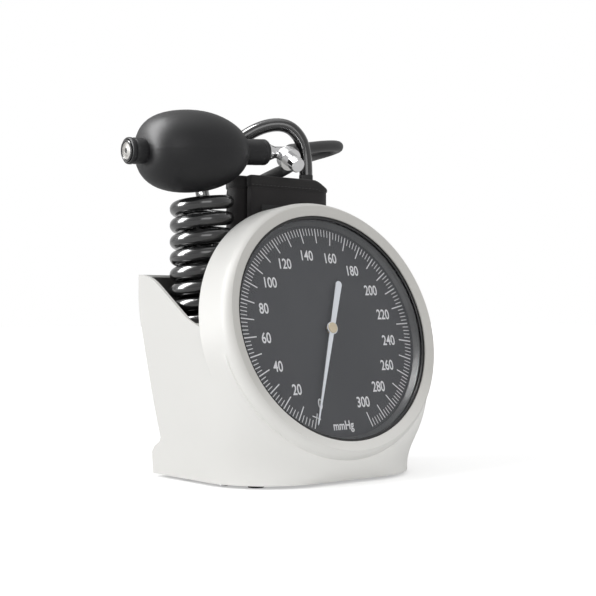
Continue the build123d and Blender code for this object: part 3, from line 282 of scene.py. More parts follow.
def clothFinish(name, color, thread, depth):
    # Two sets of threads, over and under, along the piece's own width and height
    finish = Finish(name, **{"Sheen Weight": weave["sheen"], "Sheen Roughness": weave["sheenRough"]})
    place = finish.place()
    x, y, z = finish.apart(place)
    turn = 2 * pi / thread
    across = ((x + y) * turn).sine()
    along = (z * turn).sine()
    fuzz = finish.noise(place, weave["fuzzScale"], weave["noiseDetail"])
    worn = finish.noise(place, weave["wornScale"], weave["noiseDetail"])
    height = across * along * weave["over"] + (across.absolute() + along.absolute()) * weave["rib"] \
        + fuzz * weave["fuzz"]
    # Painted shade: colour darker where the threads lie low and lighter on their tops, mixed with uneven tone
    # from wear
    shadeAndWear = (height * weave["heightShade"] + worn * weave["wornTone"]).clamped()
    darker = tuple(value * weave["darkest"] for value in color)
    lighter = tuple(value * weave["lightest"] for value in color)
    finish.feed("Base Color", finish.blendColors(shadeAndWear, darker, lighter))
    finish.feed("Roughness", (weave["rough"] + fuzz * weave["fuzzRough"]).clamped())
    finish.bump(height, weave["relief"], depth)
    return finish.material


cuffCloth = clothFinish("cuffCloth", (0.0125, 0.0108, 0.0115), 0.0009, 0.00018)
bindingCloth = clothFinish("bindingCloth", (0.012, 0.011, 0.011), 0.0006, 0.0001)
threadGrey = grainFinish("threadGrey", (0.045, 0.043, 0.044), 0.7, 2600, 0.00003)
hookCloth = clothFinish("hookCloth", (0.02, 0.02, 0.021), 0.0014, 0.0004)


lens = {"tint": (0.93, 0.95, 0.97, 1.0), "rough": 0.03, "mirror": 0.02, "smear": 0.02, "smearScale": 22,
        "smearDetail": 3.0}


def lensFinish():
    # A thin mirror share stands for what a clear window gives back
    finish = Finish("lensClear", Roughness=lens["rough"], Metallic=1.0, **{"Base Color": lens["tint"]})
    smear = finish.noise(finish.place(), lens["smearScale"], lens["smearDetail"])
    finish.feed("Alpha", (lens["mirror"] + smear * lens["smear"]).clamped())
    return finish.material


lensClear = lensFinish()
print("all finishes ready")


# Mesh helpers

ownMerge = 0.000002                   # corners of a drawn mesh nearer than this are made one, in metres
solidMerge = 0.00001                  # the same for a node's mesh
poleRadius = 0.0005                   # a lathe point nearer the axis than this is a pole, in millimetres


def bodyOf(node):
    return frame["nodes"][node]["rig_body"]


def newObject(name, data):
    made = bpy.data.objects.new(name, data)
    bpy.context.scene.collection.objects.link(made)
    return made


def evaluatedMesh(piece):
    ready = piece.evaluated_get(bpy.context.evaluated_depsgraph_get())
    return bpy.data.meshes.new_from_object(ready)


def addPiece(name, mesh, material, body, smoothUnder=40):
    piece = newObject(name, mesh)
    if not mesh.materials:
        mesh.materials.append(material)
    for face in mesh.polygons:
        face.use_smooth = True
    mesh.set_sharp_from_angle(angle=radians(smoothUnder))
    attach(piece, body)
    return piece


def meshFrom(name, points, faces, recalculate=True):
    mesh = bpy.data.meshes.new(name)
    mesh.from_pydata([tuple(point) for point in points], [], faces)
    if recalculate:
        work = bmesh.new()
        work.from_mesh(mesh)
        bmesh.ops.remove_doubles(work, verts=work.verts, dist=ownMerge)
        bmesh.ops.recalc_face_normals(work, faces=work.faces)
        work.to_mesh(mesh)
        work.free()
    mesh.update()
    return mesh


def lathe(name, profile, place, segments=96):
    # profile holds (radius, height) pairs; place turns x, y and height into a point of the row
    points, rings, faces = [], [], []
    for radius, height in profile:
        if radius < poleRadius:
            rings.append([len(points)])
            points.append(place(0, 0, height))
            continue
        rings.append(list(range(len(points), len(points) + segments)))
        for step in range(segments):
            angle = 2 * pi * step / segments
            points.append(place(radius * cos(angle), radius * sin(angle), height))
    for low, high in zip(rings, rings[1:]):
        for step in range(segments):
            after = (step + 1) % segments
            corners = [low[step % len(low)], low[after % len(low)],
                       high[after % len(high)], high[step % len(high)]]
            kept = [corner for index, corner in enumerate(corners) if corner not in corners[:index]]
            if len(kept) > 2:
                faces.append(kept)
    return meshFrom(name, points, faces)


def settle(piece):
    # Turns the evaluated piece into a plain mesh and drops its modifiers
    ready = evaluatedMesh(piece)
    piece.modifiers.clear()
    piece.data = ready


def finishNode(node, material, width, angle=35):
    # A machined or moulded node with its edges broken, in place of the bare solid
    work = bmesh.new()
    work.from_mesh(frame["nodes"][node].data)
    bmesh.ops.remove_doubles(work, verts=work.verts, dist=solidMerge)
    bmesh.ops.dissolve_degenerate(work, edges=work.edges, dist=solidMerge)
    mesh = bpy.data.meshes.new(node + "Finished")
    work.to_mesh(mesh)
    work.free()
    piece = addPiece(node + "Finished", mesh, material, bodyOf(node), smoothUnder=angle)
    bevel = piece.modifiers.new("edges", "BEVEL")
    bevel.width = width
    bevel.segments = 2
    bevel.limit_method = "ANGLE"
    bevel.angle_limit = radians(angle)
    bevel.use_clamp_overlap = True
    weighted = piece.modifiers.new("weighted", "WEIGHTED_NORMAL")
    weighted.keep_sharp = True
    settle(piece)
    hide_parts(node)


def paintNode(node, material):
    target = frame["nodes"][node]
    target.data.materials.clear()
    target.data.materials.append(material)


# Hoses: one control point list each, the same routes as the solids; diameters in metres

hose = {"diameter": 0.009, "bulbDiameter": 0.008, "coilX": -59.5, "coilY": 25.6, "meanRadius": 15.9,
        "pitch": 10.4, "turns": 11, "pointsEachTurn": 14, "start": (-43.6, 5.0, 62.0),
        "lead": 10, "joinShift": 0.3, "joinGap": 3}


def hoseCurve(name, route, rounded=0):
    curve = bpy.data.curves.new(name, "CURVE")
    curve.dimensions = "3D"
    spline = curve.splines.new("NURBS")
    spline.points.add(len(route) - 1)
    for point, place in zip(spline.points, route):
        point.co = (*place, 1.0)
    spline.order_u = 3
    spline.use_endpoint_u = True
    spline.resolution_u = 6
    curve.bevel_depth = rounded
    curve.bevel_resolution = 7
    curve.use_fill_caps = True
    piece = newObject(name, curve)
    bpy.context.view_layer.update()
    return piece


def hosePath(route):
    bare = hoseCurve("hosePath", route)
    mesh = bpy.data.meshes.new_from_object(bare)
    path = [vertex.co.copy() for vertex in mesh.vertices]
    bpy.data.objects.remove(bare)
    return path


def pathLength(path):
    return sum((after - before).length for before, after in zip(path, path[1:]))


def hoseTube(name, route, diameter):
    solid = hoseCurve(name + "Curve", route, rounded=diameter / 2)
    mesh = bpy.data.meshes.new_from_object(solid)
    bpy.data.objects.remove(solid)
    mesh.materials.clear()
    return mesh


def coilRoute():
    # Control points stand a little outside the turns, because the smooth line cuts inside them
    step = 2 * pi / hose["pointsEachTurn"]
    reach = hose["meanRadius"] / (0.75 + 0.25 * cos(step))
    x, y, z = hose["start"]
    joinX = x + hose["joinShift"]
    route = [rowPoint(x, y, z), rowPoint(x, y + hose["lead"], z),
             rowPoint(joinX, hose["coilY"] - hose["joinGap"], z)]
    for index in range(1, hose["turns"] * hose["pointsEachTurn"]):
        angle = step * index
        route.append(rowPoint(hose["coilX"] + reach * cos(angle), hose["coilY"] + reach * sin(angle),
                              z + hose["pitch"] * angle / (2 * pi)))
    top = z + hose["pitch"] * hose["turns"]
    route.append(rowPoint(joinX, hose["coilY"] + hose["joinGap"], top))
    return route, top


def makeCoiledHose():
    # The coil and its arch over to the cuff are one hose, drawn out between the bin and the cuff
    route, top = coilRoute()
    arch = [(-43.6, 34.7, top), (-43.6, 47.0, top), (-40.8, 57.0, 188.5), (-33.0, 56.5, 206.0),
            (-21.5, 46.5, 218.0), (-5.0, 37.0, 230.3), (10.6, 30.0, 232.3), (20.4, 26.4, 223.3),
            (24.3, 26.2, 210.0), (24.3, 26.1, 198.0)]
    route += [rowPoint(*point) for point in arch]
    mesh = hoseTube("coiledHose", route, hose["diameter"])
    path = hosePath(route)
    mesh.materials.append(hoseGloss)
    piece = newObject("coiledHose", mesh)
    for face in mesh.polygons:
        face.use_smooth = True
    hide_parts("coil_hose", "cuff_hose")
    rowPoint(0, 0, 62)
    rowPoint(0, 0, 172)
    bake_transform(piece)
    length = pathLength(path)
    print("coiled hose length", round(length, 3), "points", len(path))
    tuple(path[0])


def makeBulbHose():
    bulbRoute = [(4.1, 20.0, 211.28), (9.83, 20.0, 211.7), (11.9, 24.6, 213.0), (14.0, 31.5, 214.5),
                 (23.0, 41.0, 217.3), (39.0, 48.5, 220.2), (63.0, 53.0, 224.7), (82.0, 59.0, 226.8),
                 (86.0, 76.0, 225.6), (68.0, 76.5, 220.2), (47.0, 62.0, 214.5), (30.0, 46.0, 209.5),
                 (15.01, 31.0, 203.79), (5.08, 31.0, 199.08)]
    bulbRoute = [rowPoint(*point) for point in bulbRoute]
    curve = hoseCurve("bulbHose", bulbRoute, rounded=hose["bulbDiameter"] / 2)
    curve.data.materials.append(hoseMatt)
    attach(curve, "cuff_set")
    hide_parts("bulb_hose")
    bulbLength = pathLength(hosePath(bulbRoute))
    print("bulb hose length", round(bulbLength, 3))
    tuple(bulbRoute[0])


makeCoiledHose()
makeBulbHose()
print("hoses ready")


# Repeats: one unit mesh set round an arc, or beads along a path, by geometry nodes

def geometryTree(name, sockets):
    tree = bpy.data.node_groups.new(name, "GeometryNodeTree")
    tree.interface.new_socket(name="Geometry", in_out="INPUT", socket_type="NodeSocketGeometry")
    for label, kind in sockets:
        tree.interface.new_socket(name=label, in_out="INPUT", socket_type="NodeSocket" + kind)
    tree.interface.new_socket(name="Geometry", in_out="OUTPUT", socket_type="NodeSocketGeometry")
    given = tree.nodes.new("NodeGroupInput")
    end = tree.nodes.new("NodeGroupOutput")

    def join(kind, inputs, settings=None):
        made = tree.nodes.new(kind)
        for label, value in (settings or {}).items():
            setattr(made, label, value)
        for label, value in inputs.items():
            if isinstance(value, bpy.types.NodeSocket):
                tree.links.new(value, made.inputs[label])
            else:
                made.inputs[label].default_value = value
        return made

    def maths(operation, *values):
        return join("ShaderNodeMath", dict(enumerate(values)), {"operation": operation}).outputs[0]

    def finish(geometry):
        whole = join("GeometryNodeRealizeInstances", {"Geometry": geometry})
        painted = join("GeometryNodeSetMaterial", {"Geometry": whole.outputs[0],
                                                   "Material": given.outputs["Material"]})
        tree.links.new(painted.outputs[0], end.inputs[0])

    return tree, given.outputs, join, maths, finish


def makeRingTree():
    # The mark is drawn at the ring's top and every copy is turned about the ring's middle
    tree, given, join, maths, finish = geometryTree("ringOfMarks", [
        ("Count", "Int"), ("First angle", "Float"), ("Step angle", "Float"), ("Skip every", "Int"),
        ("Material", "Material")])
    number = join("GeometryNodeInputIndex", {}).outputs[0]
    turned = maths("MULTIPLY_ADD", number, given["Step angle"], given["First angle"])
    facing = join("ShaderNodeCombineXYZ", {2: maths("MULTIPLY", turned, -1.0)}).outputs[0]
    points = join("GeometryNodePoints", {"Count": given["Count"]}).outputs[0]
    marks = join("GeometryNodeInstanceOnPoints", {"Points": points, "Instance": given["Geometry"],
                                                  "Rotation": facing}).outputs[0]
    onStep = maths("LESS_THAN", maths("MODULO", number, given["Skip every"]), 0.5)
    skipping = maths("GREATER_THAN", given["Skip every"], 0.5)
    dropped = maths("MULTIPLY", onStep, skipping)
    kept = join("GeometryNodeDeleteGeometry", {"Geometry": marks, "Selection": dropped},
                {"domain": "INSTANCE"})
    finish(kept.outputs[0])
    return tree


def makeStitchTree():
    tree, given, join, maths, finish = geometryTree("stitchRow", [
        ("Spacing", "Float"), ("Long", "Float"), ("Thick", "Float"), ("Material", "Material")])
    line = join("GeometryNodeMeshToCurve", {"Mesh": given["Geometry"]}).outputs[0]
    points = join("GeometryNodeCurveToPoints", {"Curve": line, "Length": given["Spacing"]},
                  {"mode": "LENGTH"}).outputs
    bead = join("GeometryNodeMeshIcoSphere", {"Radius": 0.5, "Subdivisions": 2}).outputs[0]
    size = join("ShaderNodeCombineXYZ", {0: given["Thick"], 1: given["Thick"], 2: given["Long"]}).outputs[0]
    beads = join("GeometryNodeInstanceOnPoints", {"Points": points["Points"], "Instance": bead,
                                                  "Rotation": points["Rotation"], "Scale": size})
    finish(beads.outputs[0])
    return tree


def evaluated(name, mesh, tree, values):
    # Named inputs are set by their socket's identifier before the first evaluation
    holder = newObject(name, mesh)
    nodes = holder.modifiers.new("repeat", "NODES")
    nodes.node_group = tree
    for socket in tree.interface.items_tree:
        if socket.in_out == "INPUT" and socket.name in values:
            nodes[socket.identifier] = values[socket.name]
    made = evaluatedMesh(holder)
    bpy.data.objects.remove(holder)
    return made


def joined(name, meshes):
    work = bmesh.new()
    for mesh in meshes:
        work.from_mesh(mesh)
    whole = bpy.data.meshes.new(name)
    work.to_mesh(whole)
    work.free()
    return whole


ringTree = makeRingTree()
stitchTree = makeStitchTree()


# The dial's print, laid out flat in millimetres and then set on the dial's face

scale = {"zero": -158.2, "full": 300, "sweep": 320, "longEvery": 10, "shortEvery": 2, "labelEvery": 20,
         "outer": 66.7, "longInner": 56.9, "shortInner": 61.9, "longWidth": 0.72, "shortWidth": 0.5,
         "labelRadius": 50.0, "labelHeight": 6.8, "labelSquash": 0.76, "labelTurn": -1.2,
         "labelWeight": 0.016, "driftFrom": 120, "drift": 3.0, "driftIn": 2.4,
         "zeroBarRadius": 59.6, "zeroBarLength": 6.4,
         "unit": "mmHg", "unitPlace": (-2.4, -61.0), "unitHeight": 5.6, "unitSquash": 0.78,
         "unitWeight": 0.022, "capHeight": 0.729, "printDepth": 0.035}


def flatBar(name, width, low, high):
    half = width / 2
    corners = [(-half, low, 0), (half, low, 0), (half, high, 0), (-half, high, 0)]
    return meshFrom(name, corners, [(0, 1, 2, 3)], recalculate=False)


def flatWords(words, height, squash, heavier, place):
    curve = bpy.data.curves.new("words", "FONT")
    curve.body = words
    curve.size = 1.0
    curve.offset = heavier
    curve.resolution_u = 5
    holder = newObject("words", curve)
    bpy.context.view_layer.update()
    mesh = evaluatedMesh(holder)
    bpy.data.objects.remove(holder)
    across = [vertex.co.x for vertex in mesh.vertices]
    size = height / scale["capHeight"]
    middle = (min(across) + max(across)) / 2
    for vertex in mesh.vertices:
        vertex.co = ((vertex.co.x - middle) * size * squash + place[0],
                     (vertex.co.y - scale["capHeight"] / 2) * size + place[1], 0)
    return mesh


def markRing(name, width, inner, every, skipEvery):
    # Printed lines round the scale, one for every step; skipEvery leaves out those that other lines take
    turn = radians(scale["sweep"] / scale["full"] * every)
    bar = flatBar(name, width, inner, scale["outer"])
    return evaluated(name, bar, ringTree, {"Count": scale["full"] // every + 1, "Skip every": skipEvery,
                                           "First angle": radians(scale["zero"]), "Step angle": turn,
                                           "Material": printWhite})


def makeLabels():
    # The right side's numbers stand a little farther round and farther in
    labels = []
    for value in range(0, scale["full"] + 1, scale["labelEvery"]):
        drift = max(0.0, sin(pi * (value - scale["driftFrom"]) / (scale["full"] - scale["driftFrom"])))
        angle = radians(scale["zero"] + scale["labelTurn"] + value * (scale["sweep"] / scale["full"])
                        + drift * scale["drift"])
        radius = scale["labelRadius"] - drift * scale["driftIn"]
        labels.append(flatWords(str(value), scale["labelHeight"], scale["labelSquash"], scale["labelWeight"],
                                (radius * sin(angle), radius * cos(angle))))
    return labels


def makeZeroBar():
    # A short line across the first mark
    bar = flatBar("zeroBar", scale["longWidth"], -scale["zeroBarLength"] / 2, scale["zeroBarLength"] / 2)
    angle = radians(scale["zero"])
    for vertex in bar.vertices:
        along, radius = vertex.co.y, scale["zeroBarRadius"] + vertex.co.x
        vertex.co = (radius * sin(angle) + along * cos(angle), radius * cos(angle) - along * sin(angle), 0)
    return bar


def makeDialPrint():
    sheets = [markRing("longMarks", scale["longWidth"], scale["longInner"], scale["longEvery"], 0),
              markRing("shortMarks", scale["shortWidth"], scale["shortInner"], scale["shortEvery"],
                       scale["longEvery"] // scale["shortEvery"])]
    sheets += makeLabels()
    sheets.append(flatWords(scale["unit"], scale["unitHeight"], scale["unitSquash"], scale["unitWeight"],
                            scale["unitPlace"]))
    sheets.append(makeZeroBar())
    whole = joined("dialPrint", sheets)
    for vertex in whole.vertices:
        vertex.co = dialPoint(vertex.co.x, vertex.co.y, scale["printDepth"])
    outward = Vector((0, -cos(tilt), sin(tilt)))
    work = bmesh.new()
    work.from_mesh(whole)
    bmesh.ops.reverse_faces(work, faces=[face for face in work.faces if face.normal.dot(outward) < 0])
    work.to_mesh(whole)
    work.free()
    whole.materials.clear()
    addPiece("dialPrint", whole, printWhite, bodyOf("dial_plate"))


makeDialPrint()
print("dial print ready")


# The squeeze bulb, turned from the same outline as its solid, with its rolled collar and parting line

bulb = {"left": (-116.2, 20.0, 202.4), "right": (-14.6, 20.0, 209.9), "radius": 25.8, "widest": 43.0,
        "collar": 8.2, "collarLength": 11.0, "neck": 8.5, "neckLength": 18.0,
        "cupRadius": 6.68, "cupDepth": 7.9, "boreRadius": 4.2, "boreDepth": 7,
        "skinFrom": 7.9, "skinStart": 4, "skinEnd": 5, "partingHeight": 0.16, "partingWidth": 0.035,
        "swell": 0.12, "swellLobes": 3, "swellTwist": 0.11, "swellFade": 8}


def bulbFrame():
    left, right = Vector(bulb["left"]), Vector(bulb["right"])
    along = (right - left).normalized()
    side = Vector((0, -1, 0))
    third = along.cross(side)
    return left, along, side, third, (right - left).length


def onBulb(x, y, height):
    left, along, side, third, length = bulbFrame()
    return rowPoint(*(left + along * height + side * x + third * y))


def bezierRun(first, second, third, fourth, steps=14):
    # Points after the first along a curve with two handles
    corners = (first, second, third, fourth)
    run = []
    for index in range(1, steps + 1):
        t = index / steps
        rest = 1 - t
        weights = (rest ** 3, 3 * rest * rest * t, 3 * rest * t * t, t ** 3)
        run.append(tuple(sum(weight * point[axis] for weight, point in zip(weights, corners))
                         for axis in (0, 1)))
    return run


def bulbProfile(length):
    # From the cup's seat out over the rolled collar, along the bulb and its ribbed neck, into the neck's bore
    neck, widest = bulb["neck"], bulb["radius"]
    first, last = (bulb["collar"] - 0.5, bulb["collarLength"]), (neck - 0.5, length - bulb["neckLength"])
    leftRun, rightRun = bulb["widest"] - first[1], last[1] - bulb["widest"]
    middle = (widest, bulb["widest"])
    profile = [(0, bulb["cupDepth"]), (bulb["cupRadius"], bulb["cupDepth"]), (bulb["cupRadius"], 0.5),
               (7.0, 0.1), (7.6, 0.05), (8.05, 0.45), (8.2, 1.1), (8.2, 2.3), (8.0, 2.8), (7.65, 3.1),
               (7.6, 3.6), (7.9, 4.1), (8.05, 4.6), (8.05, 6.0), (7.95, 9.4), (7.8, 10.5), first]
    profile += bezierRun(first, (first[0] + (widest - first[0]) * 0.78, first[1] + 0.6),
                         (widest, bulb["widest"] - leftRun * 0.52), middle)
    profile += bezierRun(middle, (widest, bulb["widest"] + rightRun * 0.6),
                         (last[0] + (widest - last[0]) * 0.42, last[1] - rightRun * 0.06), last)
    start = last[1]
    profile += [(neck - 0.25, start + 0.8), (neck - 0.1, start + 2.5), (neck - 0.1, start + 9),
                (neck, start + 9.5), (neck, length - 4.4), (neck - 0.35, length - 4.0),
                (neck - 0.35, length - 3.4), (neck, length - 3.0), (neck, length - 0.8),
                (neck - 0.3, length - 0.25), (neck - 0.9, length), (bulb["boreRadius"], length),
                (bulb["boreRadius"], length - bulb["boreDepth"]), (0, length - bulb["boreDepth"])]
    return profile


def makeBulb():
    left, along, side, third, length = bulbFrame()
    mesh = lathe("bulbBody", bulbProfile(length), onBulb, segments=128)
    start = rowPoint(*left)
    for vertex in mesh.vertices:
        # The mould's parting line and a slight unevenness of the skin
        offset = (vertex.co - start) * 1000
        height = offset.dot(along)
        flat = offset - along * height
        if flat.length < bulb["skinFrom"] or height < bulb["skinStart"] or height > length - bulb["skinEnd"]:
            continue
        turn = atan2(flat.dot(third), flat.dot(side))
        nearest = min(abs(turn), abs(abs(turn) - pi))
        ridge = bulb["partingHeight"] * max(0.0, 1 - nearest / bulb["partingWidth"])
        swell = bulb["swell"] * sin(bulb["swellLobes"] * turn + height * bulb["swellTwist"]) \
            * min(1.0, (flat.length - bulb["skinFrom"]) / bulb["swellFade"])
        vertex.co += flat.normalized() * ((ridge + swell) / 1000)
    piece = addPiece("bulbBody", mesh, bulbRubber, bodyOf("inflation_bulb"), smoothUnder=50)
    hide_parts("inflation_bulb")


def makeInletCup():
    # A black ring round a satin disc whose middle swells out to the small air hole
    ring = [(0, 7.4), (6.5, 7.4), (6.6, 7.2), (6.6, 3.4), (6.45, 3.2), (6.45, 2.7), (6.6, 2.5),
            (6.6, -0.5), (6.35, -0.9), (5.9, -1.0), (5.45, -0.95), (5.25, -0.75), (5.2, -0.4),
            (5.2, 1.0), (0, 1.0)]
    piece = addPiece("inletCup", lathe("inletCup", ring, onBulb), hoseGloss, bodyOf("bulb_inlet_valve"),
                     smoothUnder=28)
    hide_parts("bulb_inlet_valve")
    disc = [(0, 0.95), (5.15, 0.95), (5.15, -0.4), (5.0, -0.6), (4.75, -0.6), (4.45, -0.1), (4.2, -0.1),
            (3.2, -0.45), (2.3, -0.85), (1.85, -1.0), (1.65, -0.85), (1.6, -0.5), (1.6, 0.6), (0, 0.6)]
    addPiece("inletDisc", lathe("inletDisc", disc, onBulb), satinDisc, bodyOf("bulb_inlet_valve"),
             smoothUnder=28)
    hole = lathe("inletHole", [(0, 0.55), (1.55, 0.55), (1.55, -0.35), (0, -0.35)], onBulb, segments=32)
    addPiece("inletHole", hole, footRubber, bodyOf("bulb_inlet_valve"))


makeBulb()
makeInletCup()
print("bulb ready")


# The folded cuff: one padded strip laid to and fro in four layers, swelled by a short cloth simulation

cuff = {"left": -31.0, "right": 38.0, "front": 17.3, "pitch": 8.15, "layers": 4, "thick": 4.8,
        "floor": 58.2, "top": 194.2, "foldGap": 0.4,
        "shoulderWidth": 9.5, "shoulderDrop": 5.5, "shoulderExtra": 1.15, "step": 3.2,
        "frames": 20, "pressure": 6.0, "most": 0.0023, "footHold": 3, "seamHold": 1.7,
        "binding": 8.0, "bindingExtra": 1.5, "bindingLift": 0.5, "bindingRows": 3,
        "seams": (98.0, 142.0), "stitchRise": 1.6, "stitchSpacing": 0.0029, "stitchLong": 0.0021,
        "stitchThick": 0.00055, "stitchLift": 0.0001, "seamStart": 6, "seamShort": 14, "seamSteps": 60,
        "seamStandOff": 2}


def cuffLine():
    # The strip's middle line seen from above, with half-round folds at alternate ends
    bend = cuff["pitch"] / 2
    inset = bend + cuff["foldGap"]
    line = []
    for layer in range(cuff["layers"]):
        y = cuff["front"] + cuff["pitch"] * (layer + 0.5)
        ends = [cuff["left"] + inset, cuff["right"] - inset]
        if layer % 2:
            ends.reverse()
        count = round(abs(ends[1] - ends[0]) / cuff["step"])
        for index in range(count + 1):
            line.append((ends[0] + (ends[1] - ends[0]) * index / count, y))
        if layer < cuff["layers"] - 1:
            way = 1 if layer % 2 == 0 else -1
            for turn in (30, 60, 90, 120, 150):
                line.append((ends[1] + way * bend * sin(radians(turn)),
                             y + bend - bend * cos(radians(turn))))
    return line


def cuffTop(x):
    # The top right shoulder slopes away
    over = max(0.0, x - (cuff["right"] - cuff["shoulderWidth"]))
    return cuff["top"] - over * cuff["shoulderDrop"] / cuff["shoulderWidth"] * cuff["shoulderExtra"]


def stripRing(low, top, rows, rounded):
    # The slab's outline at one place of the line: share of its thickness, and height
    edge, sag = 0.36, rounded * 0.25
    sides = [low + rounded + (top - low - 2 * rounded) * (row / rows) for row in range(rows + 1)]
    ring = [(0.5, height) for height in sides]
    ring += [(edge, top - sag), (0.0, top), (-edge, top - sag)]
    ring += [(-0.5, height) for height in reversed(sides)]
    return ring + [(-edge, low + sag), (0.0, low), (edge, low + sag)]


def stripMesh(name, thick, low, drop, rows, rounded=1.0):
    # A closed slab along the line: both faces, a rounded top and bottom, and closed ends
    line = [Vector((x, y)) for x, y in cuffLine()]
    ribs = []
    for index, point in enumerate(line):
        before, after = line[max(0, index - 1)], line[min(len(line) - 1, index + 1)]
        way = (after - before).normalized()
        side = Vector((-way.y, way.x))
        ribs.append([rowPoint(point.x + side.x * thick * across, point.y + side.y * thick * across, height)
                     for across, height in stripRing(low, cuffTop(point.x) - drop, rows, rounded)])
    size = len(ribs[0])
    points = [point for rib in ribs for point in rib]
    faces = []
    for index in range(len(ribs) - 1):
        for step in range(size):
            after = (step + 1) % size
            faces.append((index * size + step, (index + 1) * size + step,
                          (index + 1) * size + after, index * size + after))
    for start in (0, (len(ribs) - 1) * size):
        middle = len(points)
        points.append(sum((points[start + step] for step in range(size)), Vector()) / size)
        for step in range(size):
            faces.append((start + step, start + (step + 1) % size, middle))
    return meshFrom(name, points, faces)


def swellCloth(piece, held):
    # Short cloth run under light air pressure; held vertices stay, and no point moves farther than the cap
    rest = [vertex.co.copy() for vertex in piece.data.vertices]
    group = piece.vertex_groups.new(name="held")
    group.add(held, 1.0, "REPLACE")
    cloth = piece.modifiers.new("cloth", "CLOTH")
    cloth.settings.quality = 6
    cloth.settings.mass = 0.25
    cloth.settings.vertex_group_mass = "held"
    cloth.settings.use_pressure = True
    cloth.settings.uniform_pressure_force = cuff["pressure"]
    cloth.settings.tension_stiffness = 18
    cloth.settings.compression_stiffness = 18
    cloth.settings.bending_stiffness = 0.6
    cloth.settings.effector_weights.gravity = 0.0
    cloth.collision_settings.use_collision = False
    cloth.point_cache.frame_start = 1
    cloth.point_cache.frame_end = cuff["frames"]
    for step in range(1, cuff["frames"] + 1):
        bpy.context.scene.frame_set(step)
    moved = evaluatedMesh(piece)
    for vertex, start in zip(moved.vertices, rest):
        shift = vertex.co - start
        if shift.length > cuff["most"]:
            vertex.co = start + shift.normalized() * cuff["most"]
    piece.modifiers.clear()
    piece.vertex_groups.clear()
    piece.data = moved
    bpy.context.scene.frame_set(1)


def heldVertices(mesh):
    # What the cloth run leaves alone: the strip's foot, all that the binding covers, and the seams
    low, high = (cuff["floor"] + cuff["footHold"]) / 1000, (cuff["top"] - cuff["binding"]) / 1000
    held = []
    for vertex in mesh.vertices:
        top = cuffTop(vertex.co.x * 1000 - footOffset[0]) / 1000 - cuff["binding"] / 1000
        onSeam = any(abs(vertex.co.z * 1000 - seam) < cuff["seamHold"] for seam in cuff["seams"])
        if vertex.co.z < low or vertex.co.z > min(high, top) or onSeam:
            held.append(vertex.index)
    return held


def smoothed(piece):
    finer = piece.modifiers.new("finer", "SUBSURF")
    finer.levels = finer.render_levels = 1
    settle(piece)


def sewRows(carrier, heights, extra):
    # Rows of thread on the outer front and back faces, laid on the cloth as it came out
    reach = cuff["thick"] / 2 + extra
    front = cuff["front"] + cuff["pitch"] * 0.5 - reach - cuff["seamStandOff"]
    back = cuff["front"] + cuff["pitch"] * (cuff["layers"] - 0.5) + reach + cuff["seamStandOff"]
    count = cuff["seamSteps"]
    points, edges = [], []
    for height in heights:
        for y in (front, back):
            start = len(points)
            for index in range(count + 1):
                x = cuff["left"] + cuff["seamStart"] \
                    + (cuff["right"] - cuff["left"] - cuff["seamShort"]) * index / count
                drop = cuff["top"] - cuffTop(x) if extra else 0.0
                place, normal = carrier.closest_point_on_mesh(rowPoint(x, y, height - drop))[1:3]
                points.append(place + normal * cuff["stitchLift"])
            edges += [(start + index, start + index + 1) for index in range(count)]
    rows = bpy.data.meshes.new("threadRows")
    rows.from_pydata([tuple(point) for point in points], edges, [])
    made = evaluated("threadRows", rows, stitchTree,
                     {"Spacing": cuff["stitchSpacing"], "Long": cuff["stitchLong"],
                      "Thick": cuff["stitchThick"], "Material": threadGrey})
    addPiece(carrier.name + "Thread", made, threadGrey, bodyOf("cuff"))


def makeCuff():
    rows = round((cuff["top"] - cuff["floor"]) / cuff["step"])
    mesh = stripMesh("cuffFolds", cuff["thick"], cuff["floor"], 0.0, rows)
    piece = addPiece("cuffFolds", mesh, cuffCloth, bodyOf("cuff"), smoothUnder=80)
    held = heldVertices(mesh)
    swellCloth(piece, held)
    smoothed(piece)
    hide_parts("cuff")
    bindingFoot = cuff["top"] - cuff["binding"]
    bindingMesh = stripMesh("cuffBinding", cuff["thick"] + cuff["bindingExtra"], bindingFoot,
                            -cuff["bindingLift"], cuff["bindingRows"], rounded=0.8)
    binding = addPiece("cuffBinding", bindingMesh, bindingCloth, bodyOf("cuff"), smoothUnder=80)
    smoothed(binding)
    sewRows(piece, cuff["seams"], 0.0)
    sewRows(binding, [bindingFoot + cuff["stitchRise"]], cuff["bindingExtra"] / 2)


makeCuff()
print("cuff ready")


# Camera and light

view = {"place": (-451.6, -594.0, 106.0), "azimuth": 37.11, "pitch": 0.63, "lens": 69.46}


def makeCamera():
    camera = newObject("camera", bpy.data.cameras.new("camera"))
    camera.data.lens = view["lens"]
    camera.data.sensor_width = 36.0
    camera.data.sensor_fit = "HORIZONTAL"
    camera.location = rowPoint(*view["place"])
    camera.rotation_euler = (radians(90 + view["pitch"]), 0, radians(-view["azimuth"]))
    camera.data.clip_start = 0.02
    bpy.context.scene.camera = camera


def softLamp(name, place, target, size, power, lightsAll=True):
    # lightsAll False keeps the box out of plain light, so it only shows in gloss
    lamp = newObject(name, bpy.data.lights.new(name, "AREA"))
    lamp.data.shape = "RECTANGLE"
    lamp.data.size, lamp.data.size_y = size
    lamp.data.energy = power
    lamp.location = place
    lamp.rotation_euler = (Vector(target) - Vector(place)).to_track_quat("-Z", "Y").to_euler()
    lamp.visible_diffuse = lightsAll


